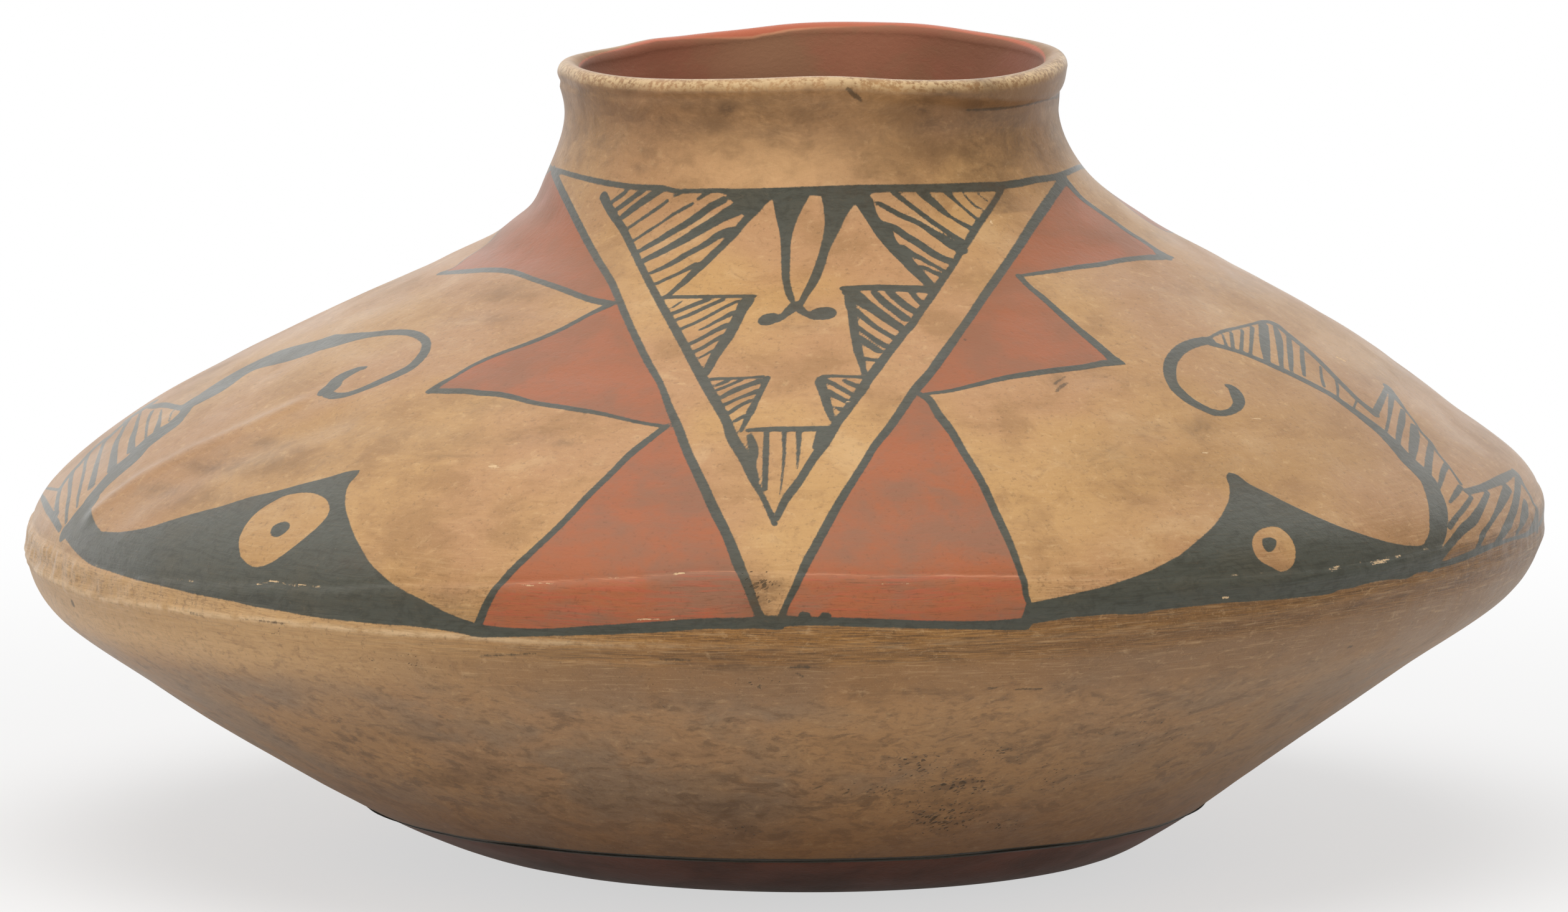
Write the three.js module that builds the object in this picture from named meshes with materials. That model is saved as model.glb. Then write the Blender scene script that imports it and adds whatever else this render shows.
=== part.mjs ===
// A hand-built pueblo pottery jar, in millimetres, +Z up.
// The jar is made the way a pueblo potter makes it: a base pressed into a shallow mould, then one coil of
// clay laid on another, pinched and scraped to a thin wall, and a last coil rolled over as the lip.
// Each coil is its own solid. It seats face to face on the coil below along the seam where the two are welded.
// The origin is on the ground under the middle of the keel, the sharp turn where the jar is widest.

import * as THREE from "three";

// Driving dimensions. A radius is measured from the middle of its own hoop.
const BASE_RADIUS = 50; // the flat face that the jar rests on
const FOOT_RADIUS = 75.5; // where the rounded foot meets the straight lower wall
const KEEL_RADIUS = 145;
const KEEL_SETBACK_UNDER = 3.6; // how far the keel's rounded nose falls back at its lower end
const KEEL_SETBACK_OVER = 3; // and at its upper end
const ROOT_RADIUS = 60.2; // where the shoulder turns up into the neck
const WAIST_RADIUS = 46.8; // the narrowest place of the neck
const COVE_FLARE = 4.4; // how much wider than the waist the neck is in the cove above its root
const LIP_FLARE = 1.8; // how much wider than the waist the lip is

// Heights, each from the level below it.
const FOOT_HEIGHT = 8;
const KEEL_HEIGHT = 62; // from the ground
const KEEL_NOSE_HALF_HEIGHT = 8.8;
const SHOULDER_RISE = 58.5; // keel to neck root
const COVE_RISE = 9.5; // neck root to cove
const WAIST_RISE = 11; // cove to waist
const LIP_RISE = 11.5; // waist to the crest of the lip, at its middle height

// The walls between those hoops swell out a little from a straight line.
const FOOT_ROLL_SWELL = 1.6;
const LOWER_WALL_SWELL = 1.2;
const SHOULDER_SWELL_LOW = 2.8;
const SHOULDER_SWELL_MIDDLE = 3;
const SHOULDER_SWELL_HIGH = 1;

// Wall thickness, square to the surface.
const FLOOR_THICKNESS = 8;
const LOWER_WALL = 7.2;
const KEEL_WALL = 8.5;
const SHOULDER_WALL = 6.4;
const NECK_WALL = 5.4;
const LIP_WALL = 4.8;

// What the hand leaves: the middle of each hoop leans to +X, the keel dips at -X, and the lip waves.
const BASE_LEAN = 5;
const FOOT_LEAN = 1;
const LOWER_WALL_LEAN = -1.4;
const KEEL_LEAN = 0;
const SHOULDER_LEAN_MIDDLE = 4.9;
const SHOULDER_LEAN_HIGH = 8.5;
const ROOT_LEAN = 9.4;
const COVE_LEAN = 6.1;
const NECK_LEAN = 5.1;
const KEEL_DIP = 2.4;
const LIP_WAVES = [
  { crests: 1, height: 0.9, crestAt: 39 }, // degrees from +X
  { crests: 2, height: 0.8, crestAt: 70 },
  { crests: 4, height: 0.4, crestAt: 0 },
];

// Coils. Each stretch of wall between two of these heights is built of even coils.
const BASE_EDGE_HEIGHT = 11; // top of the moulded base
const LOWER_COILS = 4;
const KEEL_COIL_RISE = 11; // height of each of the two coils that meet at the keel's crest
const SHOULDER_COILS = 5;
const NECK_COILS = 3;
const LIP_COIL_RISE = 9.5; // height of the last coil

// Facets.
const SEGMENTS = 64;
const ROWS_PER_COIL = 2;
const ROWS_PER_KEEL_COIL = 4;
const ROWS_PER_BASE = 7;
const LIP_ROUND_STEPS = 6;
const SPLINE_STEPS = 400;

const BUFF_SLIP = { color: 0xc39a6c, roughness: 0.55, metalness: 0 };
const RED_SLIP = { color: 0x9c5c45, roughness: 0.6, metalness: 0 };

const ROOT_HEIGHT = KEEL_HEIGHT + SHOULDER_RISE;
const COVE_HEIGHT = ROOT_HEIGHT + COVE_RISE;
const WAIST_HEIGHT = COVE_HEIGHT + WAIST_RISE;
const JAR_HEIGHT = WAIST_HEIGHT + LIP_RISE;
const LIP_ROUND = LIP_WALL / 2; // the lip's crest is a half round
const LIP_HEIGHT = JAR_HEIGHT - LIP_ROUND;
const LIP_SEAM = JAR_HEIGHT - LIP_COIL_RISE;
const LIP_RADIUS = WAIST_RADIUS + LIP_FLARE;
const KEEL_SEAM_LOW = KEEL_HEIGHT - KEEL_COIL_RISE;
const KEEL_SEAM_HIGH = KEEL_HEIGHT + KEEL_COIL_RISE;

// A hoop is one level ring of the outer surface, with the wall's thickness there.
const hoop = (radius, height, lean, wall) => ({ radius, height, lean, wall });

// The hoop a share of the way from one to another, pushed out square to the line between them by swell.
function between(low, high, share, swell, lean, wall) {
  const run = new THREE.Vector2(high.radius - low.radius, high.height - low.height);
  const out = new THREE.Vector2(run.y, -run.x).normalize();
  return hoop(
    low.radius + run.x * share + out.x * swell,
    low.height + run.y * share + out.y * swell,
    lean,
    wall,
  );
}

const base = hoop(BASE_RADIUS, 0, BASE_LEAN, FLOOR_THICKNESS);
const foot = hoop(FOOT_RADIUS, FOOT_HEIGHT, FOOT_LEAN, LOWER_WALL);
const keelUnder = hoop(
  KEEL_RADIUS - KEEL_SETBACK_UNDER,
  KEEL_HEIGHT - KEEL_NOSE_HALF_HEIGHT,
  KEEL_LEAN,
  KEEL_WALL,
);
const keel = hoop(KEEL_RADIUS, KEEL_HEIGHT, KEEL_LEAN, KEEL_WALL);
const keelOver = hoop(
  KEEL_RADIUS - KEEL_SETBACK_OVER,
  KEEL_HEIGHT + KEEL_NOSE_HALF_HEIGHT,
  KEEL_LEAN,
  KEEL_WALL,
);
const root = hoop(ROOT_RADIUS, ROOT_HEIGHT, ROOT_LEAN, SHOULDER_WALL);
const cove = hoop(WAIST_RADIUS + COVE_FLARE, COVE_HEIGHT, COVE_LEAN, NECK_WALL);
const waist = hoop(WAIST_RADIUS, WAIST_HEIGHT, NECK_LEAN, NECK_WALL);
const lip = hoop(LIP_RADIUS, LIP_HEIGHT, NECK_LEAN, LIP_WALL);

const outerHoops = [
  base,
  between(base, foot, 0.5, FOOT_ROLL_SWELL, (BASE_LEAN + FOOT_LEAN) / 2, FLOOR_THICKNESS),
  foot,
  between(foot, keelUnder, 0.3, LOWER_WALL_SWELL, LOWER_WALL_LEAN, LOWER_WALL),
  between(foot, keelUnder, 0.68, LOWER_WALL_SWELL, LOWER_WALL_LEAN, LOWER_WALL),
  keelUnder,
  keel,
  keelOver,
  between(keelOver, root, 0.21, SHOULDER_SWELL_LOW, KEEL_LEAN, SHOULDER_WALL),
  between(keelOver, root, 0.51, SHOULDER_SWELL_MIDDLE, SHOULDER_LEAN_MIDDLE, SHOULDER_WALL),
  between(keelOver, root, 0.81, SHOULDER_SWELL_HIGH, SHOULDER_LEAN_HIGH, SHOULDER_WALL),
  root,
  cove,
  waist,
  lip,
];

// A smooth curve through hoops, as radius and lean at any height.
function wallCurve(hoops) {
  const knots = hoops.map((h) => new THREE.Vector3(h.radius, h.height, h.lean));
  const points = new THREE.CatmullRomCurve3(knots, false, "centripetal").getPoints(SPLINE_STEPS);
  return (height) => {
    const above = points.findIndex((p) => p.y >= height);
    if (above <= 0) return above === 0 ? points[0] : points[points.length - 1];
    const low = points[above - 1];
    return low.clone().lerp(points[above], (height - low.y) / (points[above].y - low.y));
  };
}

// The inner surface runs through the hoops moved in square to the wall. It turns the keel in one curve.
function innerHoop(h, i, hoops) {
  const below = hoops[Math.max(i - 1, 0)];
  const above = hoops[Math.min(i + 1, hoops.length - 1)];
  const along = new THREE.Vector2(above.radius - below.radius, above.height - below.height).normalize();
  return hoop(h.radius - along.y * h.wall, h.height + along.x * h.wall, h.lean, h.wall);
}
const turned = outerHoops.filter((h) => h !== keelUnder && h !== keelOver);
const innerHoops = turned.map((h, i) => {
  if (h === base) return hoop(BASE_RADIUS, FLOOR_THICKNESS, BASE_LEAN, FLOOR_THICKNESS);
  if (h === lip) return hoop(LIP_RADIUS - LIP_WALL, LIP_HEIGHT, NECK_LEAN, LIP_WALL);
  return innerHoop(h, i, turned);
});

const outerAt = wallCurve(outerHoops);
const innerAt = wallCurve(innerHoops);

// How far the wall has sunk at -X, and risen at +X, at a height: all of it at the keel, none at base and neck.
function dipAt(height) {
  const far = height < KEEL_HEIGHT ? 0 : ROOT_HEIGHT;
  return KEEL_DIP * THREE.MathUtils.smoothstep((height - far) / (KEEL_HEIGHT - far), 0, 1);
}

// Height that the waves of the lip add at an angle round the jar.
function lipWave(angle) {
  const rise = (wave) => wave.height * Math.cos(wave.crests * (angle - THREE.MathUtils.degToRad(wave.crestAt)));
  return LIP_WAVES.reduce((sum, wave) => sum + rise(wave), 0);
}

// Turns a closed section of radius and height round the jar's axis, then shapes it as the hand does.
function turnedCoil(section) {
  const geometry = new THREE.LatheGeometry(section, SEGMENTS);
  geometry.rotateX(Math.PI / 2); // the lathe's own axis is Y
  const position = geometry.getAttribute("position");
  for (let i = 0; i < position.count; i += 1) {
    const radius = Math.hypot(position.getX(i), position.getY(i));
    const angle = Math.atan2(position.getY(i), position.getX(i));
    const height = position.getZ(i);
    const level = outerAt(height);
    const tilt = outerAt(height - dipAt(height) * Math.cos(angle)).x - level.x;
    const shaped = radius + (radius < BASE_RADIUS && height < BASE_EDGE_HEIGHT ? 0 : tilt);
    const lipShare = THREE.MathUtils.smoothstep(height, LIP_SEAM, LIP_HEIGHT);
    position.setXYZ(
      i,
      shaped * Math.cos(angle) + level.z,
      shaped * Math.sin(angle),
      height + lipWave(angle) * lipShare,
    );
  }
  return geometry;
}

// Points of a surface at even heights between two levels, both ends among them. A bend above 1 crowds them
// towards the lower level, where the foot rolls under.
function rows(surface, low, high, count, bend = 1) {
  return Array.from({ length: count + 1 }, (_, i) => {
    const height = low + (high - low) * (i / count) ** bend;
    return new THREE.Vector2(surface(height).x, height);
  });
}

// A coil's section: up its outer face, across the seam above, down its inner face and across the seam below.
function coilSection(low, high, count) {
  const section = [...rows(outerAt, low, high, count), ...rows(innerAt, low, high, count).reverse()];
  return [...section, section[0].clone()];
}

// The base's section runs from the axis under the floor, up the foot, over the edge and back along the floor.
function baseSection() {
  return [
    new THREE.Vector2(0, 0),
    ...rows(outerAt, 0, BASE_EDGE_HEIGHT, ROWS_PER_BASE, 2),
    ...rows(innerAt, FLOOR_THICKNESS, BASE_EDGE_HEIGHT, ROWS_PER_COIL, 2).reverse(),
    new THREE.Vector2(0, FLOOR_THICKNESS),
  ];
}

// The last coil ends in a half round over the crest of the lip.
function lipSection() {
  const middle = LIP_RADIUS - LIP_ROUND;
  const round = new THREE.EllipseCurve(middle, LIP_HEIGHT, LIP_ROUND, LIP_ROUND, 0, Math.PI);
  const section = [
    ...rows(outerAt, LIP_SEAM, LIP_HEIGHT, ROWS_PER_COIL).slice(0, -1),
    ...round.getPoints(LIP_ROUND_STEPS),
    ...rows(innerAt, LIP_SEAM, LIP_HEIGHT, ROWS_PER_COIL).slice(0, -1).reverse(),
  ];
  return [...section, section[0].clone()];
}

function piece(name, section, slip) {
  const mesh = new THREE.Mesh(turnedCoil(section), new THREE.MeshStandardMaterial(slip));
  mesh.name = name;
  return mesh;
}

// Even coils between two seams, named with their number from the bottom.
function coils(name, low, high, count, rowCount = ROWS_PER_COIL) {
  const rise = (high - low) / count;
  return Array.from({ length: count }, (_, i) =>
    piece(`${name}_${i + 1}`, coilSection(low + rise * i, low + rise * (i + 1), rowCount), BUFF_SLIP),
  );
}

const jar = new THREE.Group();
jar.add(
  piece("base_moulded", baseSection(), RED_SLIP),
  ...coils("lower_wall_coil", BASE_EDGE_HEIGHT, KEEL_SEAM_LOW, LOWER_COILS),
  ...coils("keel_coil", KEEL_SEAM_LOW, KEEL_SEAM_HIGH, 2, ROWS_PER_KEEL_COIL),
  ...coils("shoulder_coil", KEEL_SEAM_HIGH, ROOT_HEIGHT, SHOULDER_COILS),
  ...coils("neck_coil", ROOT_HEIGHT, LIP_SEAM, NECK_COILS),
  piece("lip_coil", lipSection(), BUFF_SLIP),
);

export default jar;
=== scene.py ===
import math

import bpy
import numpy as np
from mathutils import Matrix, Vector
from mathutils.kdtree import KDTree


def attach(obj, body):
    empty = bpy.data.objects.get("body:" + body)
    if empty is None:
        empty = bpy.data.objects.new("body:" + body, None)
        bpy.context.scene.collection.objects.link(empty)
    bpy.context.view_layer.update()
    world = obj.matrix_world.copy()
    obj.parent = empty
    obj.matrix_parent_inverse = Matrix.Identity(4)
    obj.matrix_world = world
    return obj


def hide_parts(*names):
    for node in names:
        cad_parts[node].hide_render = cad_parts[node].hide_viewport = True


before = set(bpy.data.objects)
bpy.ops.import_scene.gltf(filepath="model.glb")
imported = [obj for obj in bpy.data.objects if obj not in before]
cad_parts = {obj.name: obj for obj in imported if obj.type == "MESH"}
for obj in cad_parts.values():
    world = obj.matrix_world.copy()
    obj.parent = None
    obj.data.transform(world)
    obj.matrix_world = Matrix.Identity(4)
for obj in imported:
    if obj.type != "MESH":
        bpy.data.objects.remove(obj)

# A hand-built pueblo pottery jar: the fired, slipped and painted surface of each coil.
# Lengths are millimetres until a mesh, the camera or a lamp is made, and MM turns them into metres.
# Angles run round the jar from +X, and the photograph looks at it from -Y.

MM = 0.001
TAU = 2 * math.pi
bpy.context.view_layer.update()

# The outer and inner wall, in the same driving dimensions as the solids.
BASE_RADIUS = 50
FOOT_RADIUS = 75.5
KEEL_RADIUS = 145
KEEL_SETBACK_UNDER = 3.6
KEEL_SETBACK_OVER = 3
ROOT_RADIUS = 60.2
WAIST_RADIUS = 46.8
COVE_FLARE = 4.4
LIP_FLARE = 1.8

FOOT_HEIGHT = 8
KEEL_HEIGHT = 62
KEEL_NOSE_HALF_HEIGHT = 8.8
KEEL_NOSE_HOOPS = (5, 7)  # counted up from the base
SHOULDER_RISE = 58.5
COVE_RISE = 9.5
WAIST_RISE = 11
LIP_RISE = 11.5

FOOT_ROLL_SWELL = 1.6
LOWER_WALL_SWELL = 1.2
LOWER_WALL_SHARES = (0.3, 0.68)
SHOULDER_SWELLS = (2.8, 3, 1)
SHOULDER_SHARES = (0.21, 0.51, 0.81)

FLOOR_THICKNESS = 8
LOWER_WALL = 7.2
KEEL_WALL = 8.5
SHOULDER_WALL = 6.4
NECK_WALL = 5.4
LIP_WALL = 4.8

BASE_LEAN = 5
FOOT_LEAN = 1
LOWER_WALL_LEAN = -1.4
KEEL_LEAN = 0
SHOULDER_LEANS = (KEEL_LEAN, 4.9, 8.5)
ROOT_LEAN = 9.4
COVE_LEAN = 6.1
NECK_LEAN = 5.1
KEEL_DIP = 2.4
LIP_WAVES = ((1, 0.9, 39), (2, 0.8, 70), (4, 0.4, 0))  # crests, height, degrees to the first crest

BASE_EDGE_HEIGHT = 11
LOWER_COILS = 4
KEEL_COILS = 2
KEEL_COIL_RISE = 11
SHOULDER_COILS = 5
NECK_COILS = 3
LIP_COIL_RISE = 9.5

ROOT_HEIGHT = KEEL_HEIGHT + SHOULDER_RISE
COVE_HEIGHT = ROOT_HEIGHT + COVE_RISE
WAIST_HEIGHT = COVE_HEIGHT + WAIST_RISE
JAR_HEIGHT = WAIST_HEIGHT + LIP_RISE
LIP_ROUND = LIP_WALL / 2
LIP_HEIGHT = JAR_HEIGHT - LIP_ROUND
LIP_SEAM = JAR_HEIGHT - LIP_COIL_RISE
LIP_RADIUS = WAIST_RADIUS + LIP_FLARE
KEEL_SEAM_LOW = KEEL_HEIGHT - KEEL_COIL_RISE
KEEL_SEAM_HIGH = KEEL_HEIGHT + KEEL_COIL_RISE

# How finely the surface is drawn.
CURVE_STEPS = 4000
OUTER_STEP = 0.46  # on the painted band
PLAIN_STEP = 1.0  # on the lower wall and the neck
INNER_STEP = 3.0
GUARD_ROWS = 2  # rows beyond a seam, used only for the slope there
CREST_STEP_SHARE = 0.6  # rows stand closer over the lip's crest
POLE_RADIUS = 2  # of the innermost ring of the base, round the point in its middle
UNDER_ROWS = 16
SEAM_ROWS = 6
FLOOR_ROWS = 14
STRIPS = 8  # of the bake map round each coil
STRIP_MARGIN = 0.04
MAP_EDGE = 0.004
CAP_MAP_AT, CAP_MAP_SIZE = 0.002, 0.001  # of the triangles at the base's two poles
WALL_SCALE = 100.0  # radius of the round wall that the shaders' noises are laid on

# Marks of the hand on the outer wall, in millimetres: how far they stand out or sink, and how wide they are.
SWELL_STAND = 0.22
PRESS_STAND = 0.16
SCRAPE_STAND = 0.03
ROUGH_STAND = 0.008
ROUGH_AT_KEEL = 0.03
GHOST_DEPTH = 0.06
GHOST_WIDTH = 3.2
GHOST_WANDER = 1.5
RIDGE_WANDER = 0.35
FOLD_WANDER = 0.5
BEAD_WANDER = 0.25
HUMP_STAND = 0.9
HUMP_RISE = 4.5
HUMP_REACH = 22
DRAG_RIDGE_MARK = (0.55, 2.8)
DRAG_HOLLOW_MARK = (-0.75, 6)
KEEL_SPREAD = 9
KEEL_SINK = 0.7
CREST_SINK = 0.15
CREST_FADE = 4
GROUND_FADE = (0.2, 4)
LUMP_ROWS = 512

# Degrees round the jar to the keel's rough left end and to the lip's fold, and how far both spread.
LEFT_END = -168
FOLDED_UNDER = -22
END_SPREAD = 26

# The photograph's camera, which sees the jar from a little above.
PHOTO_WIDTH = 2520
PHOTO_HEIGHT = 1465
FOCAL_PIXELS = 22815
SENSOR_WIDTH = 36
CAMERA_DISTANCE = 2700
CAMERA_ELEVATION = math.radians(7.555)
CAMERA_AIM = np.array([-0.18, 0, 75.8])
CAMERA_BACK = np.array([0, -math.cos(CAMERA_ELEVATION), math.sin(CAMERA_ELEVATION)])
CAMERA_RIGHT = np.array([1.0, 0, 0])
CAMERA_UP = np.cross(CAMERA_BACK, CAMERA_RIGHT)
CAMERA_EYE = CAMERA_AIM + CAMERA_DISTANCE * CAMERA_BACK
CAMERA_CLIP = (0.1, 20)

# The room, in metres. A fade is its near and far distance and how much it is at each.
FLOOR_REACH = 12.0
FLOOR_COLOUR = (0.82, 0.81, 0.80, 1)
WHITE = (1, 1, 1, 1)
FADE_TO_EYE = (0.12, 0.5, 0.62, 1.0)
FADE_TO_SHEEN = (0.1, 0.6, 0.1, 0.8)
ROOM_LIGHT = 0.42
ROOM_SHEEN = 0.35
BACK_SHEEN = 1.4
SHEEN_FROM = (-0.52, 0.80, 0.30)
SHEEN_SPREAD = (-0.1, 0.75)
LAMP_WIDTH = 1.5
LAMP_POWER = 18
LAMP_AT = (-0.1, -0.55, 1.5)
LAMP_TOWARDS = (0, 0, 0.08)

# How the painting is laid on the wall.
CAMERA_SIDE = -math.pi / 2  # the middle of the painting that the photograph shows
FAR_SIDE_SHARE = 0.9  # how wide the painting is drawn on the far side
FAR_SIDE_SWAYS = ((0.008, 3, 1), (0.003, 11, 0))  # radians, waves round the jar and where they start
FAR_SIDE_LIFT = (0.6, 5, 2)  # millimetres, waves and where they start
SEARCH_GRID = (900, 460)  # points round and up the wall where pixels are first looked for
MIRRORED = -0.5  # square pixels to a square millimetre that tell the hidden wall from the seen one
STEADY = 4  # square pixels to a square millimetre under which the wall is seen too flat to measure on
FLAT_SCALE = 8  # pixels to a millimetre taken there instead
BLOB_SCALE = 4  # pixels to a millimetre that a soft spot's reach is worked out with
BLOB_REACH = 3  # half widths from its middle at which a soft spot is gone
SEARCH_TRIES = 3
LONGEST_STEP = 1.5  # millimetres that one try may move
HIDDEN_STEPS = 60
TINY = 1e-9
STROKE_STEP = 5  # pixels between a stroke's points
OUTLINE_STEP = 6
HALF_WIDTHS = (0.05, 4)
JOIN_POINTS = 12
FAR = 9.0  # millimetres from any paint
REACH = 1.6  # how far from a stroke distances are worked out
THINNEST = 0.25  # half width under which a stroke's section stays as blunt
BETWEEN_POINTS = 0.016  # square millimetres by which thin strokes would otherwise be lost between points
BASE_LINE_WIDTH = 2.1
BASE_LINE_UP = -0.35  # its middle over the base's seam
BARE = {"black": FAR, "red": FAR, "flake": FAR, "scuff": FAR, "stain_and_shade": 0.0, "pits": 0.0}

# The painting: strokes and outlines chosen on the photograph, as (x, y) or (x, y, width) in pixels.
NECK_LINE = [
    (887, 271, 8), (917, 280, 9), (960, 291, 10), (1018, 300, 10), (1063, 302, 10), (1090, 307, 8),
    (1118, 307, 8), (1164, 307, 9), (1185, 311, 16), (1214, 312, 20), (1253, 310, 19), (1300, 306, 15),
    (1345, 306, 19), (1385, 304, 18), (1405, 302, 14), (1450, 301, 13), (1500, 301, 14), (1540, 300, 15),
    (1580, 299, 16), (1604, 298, 15), (1617, 296, 13), (1640, 293, 13), (1663, 288, 12), (1700, 282, 11),
    (1740, 266, 9),
]
OUTER_LEFT_LINE = [
    (889, 273, 11), (903, 307, 12), (932, 365, 13), (960, 416, 13), (983, 454, 13), (1004, 503, 13),
    (1018, 534, 13), (1041, 580, 13), (1061, 615, 12), (1076, 655, 14), (1090, 687, 16), (1104, 724, 16),
    (1130, 780, 17), (1150, 823, 18), (1170, 863, 17), (1185, 901, 19), (1202, 941, 16), (1216, 978, 15),
    (1225, 995, 15),
]
OUTER_RIGHT_LINE = [
    (1711, 287, 18), (1697, 307, 17), (1680, 331, 18), (1660, 360, 17), (1640, 391, 16), (1620, 420, 15),
    (1601, 447, 15), (1589, 464, 15), (1560, 507, 14), (1539, 537, 14), (1516, 569, 16), (1495, 598, 15),
    (1472, 624, 16), (1455, 649, 15), (1431, 684, 14), (1404, 718, 13), (1391, 740, 13), (1371, 772, 13),
    (1351, 803, 14), (1331, 838, 15), (1311, 875, 15), (1294, 906, 15), (1280, 938, 13), (1265, 967, 11),
    (1257, 987, 12),
]
INNER_LEFT_LINE = [
    (970, 316, 16), (983, 341, 15), (1001, 368, 14), (1018, 402, 13), (1035, 437, 13), (1054, 473, 14),
    (1074, 508, 15), (1102, 558, 16), (1124, 598, 18), (1148, 641, 18), (1168, 678, 17), (1176, 701, 20),
    (1197, 737, 20), (1211, 772, 14), (1225, 797, 10), (1239, 826, 11), (1245, 841, 10),
]
INNER_RIGHT_LINE = [
    (1614, 296, 10), (1608, 308, 10), (1601, 320, 10), (1593, 332, 11), (1586, 341, 12), (1579, 351, 12),
    (1571, 361, 14), (1564, 373, 13), (1556, 386, 13), (1546, 400, 12), (1535, 419, 11), (1525, 434, 11),
    (1513, 450, 13), (1502, 466, 14), (1494, 479, 13), (1485, 491, 13), (1475, 505, 13), (1465, 520, 14),
    (1454, 532, 14), (1444, 545, 14), (1434, 557, 15), (1423, 572, 15), (1414, 584, 16), (1405, 596, 16),
    (1395, 609, 16), (1386, 624, 17), (1372, 643, 15), (1359, 661, 15), (1346, 678, 15), (1326, 710, 17),
    (1305, 740, 14), (1285, 772, 14), (1262, 803, 14), (1248, 832, 11),
]
KEEL_LINE = [
    (756, 1012, 24), (777, 1015, 21), (855, 1017, 14), (952, 1013, 17), (1056, 1007, 20), (1136, 1001, 19),
    (1190, 1001, 20), (1234, 998, 21), (1294, 997, 16), (1394, 1000, 16), (1500, 1004, 15), (1600, 1005, 17),
    (1650, 1003, 22),
]
KEEL_BLOBS = [
    [(1290, 987, 13), (1297, 988, 12)], [(1324, 988, 12), (1332, 989, 11)],
    [(1218, 999, 22), (1252, 1003, 20)],
]

# Solid parts of the panel, as outlines.
PANEL_SOLIDS = [
    [
        [(1168, 304), (1243, 303)],
        [(1302, 304), (1302, 311), (1292, 330), (1280, 355), (1272, 382), (1270, 416), (1270, 450),
         (1277, 477)],
        [(1280, 492), (1266, 480), (1257, 450), (1255, 416), (1253, 378), (1246, 345), (1241, 320)],
        [(1240, 320), (1227, 331), (1217, 341), (1206, 353)],
        [(1206, 353), (1195, 346)],
        [(1194, 346), (1184, 335), (1178, 325), (1168, 318)],
    ],
    [
        [(1318, 304), (1397, 301)],
        [(1397, 309), (1404, 320), (1408, 334), (1412, 345), (1419, 353), (1432, 362), (1440, 383),
         (1449, 398)],
        [(1439, 413), (1415, 386), (1397, 360), (1388, 345), (1376, 328)],
        [(1373, 328), (1361, 345), (1349, 370), (1334, 399), (1326, 425), (1315, 452), (1300, 474),
         (1290, 490), (1280, 492)],
        [(1285, 478), (1293, 462), (1307, 430), (1318, 396), (1325, 360), (1323, 331), (1319, 312)],
    ],
]
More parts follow.
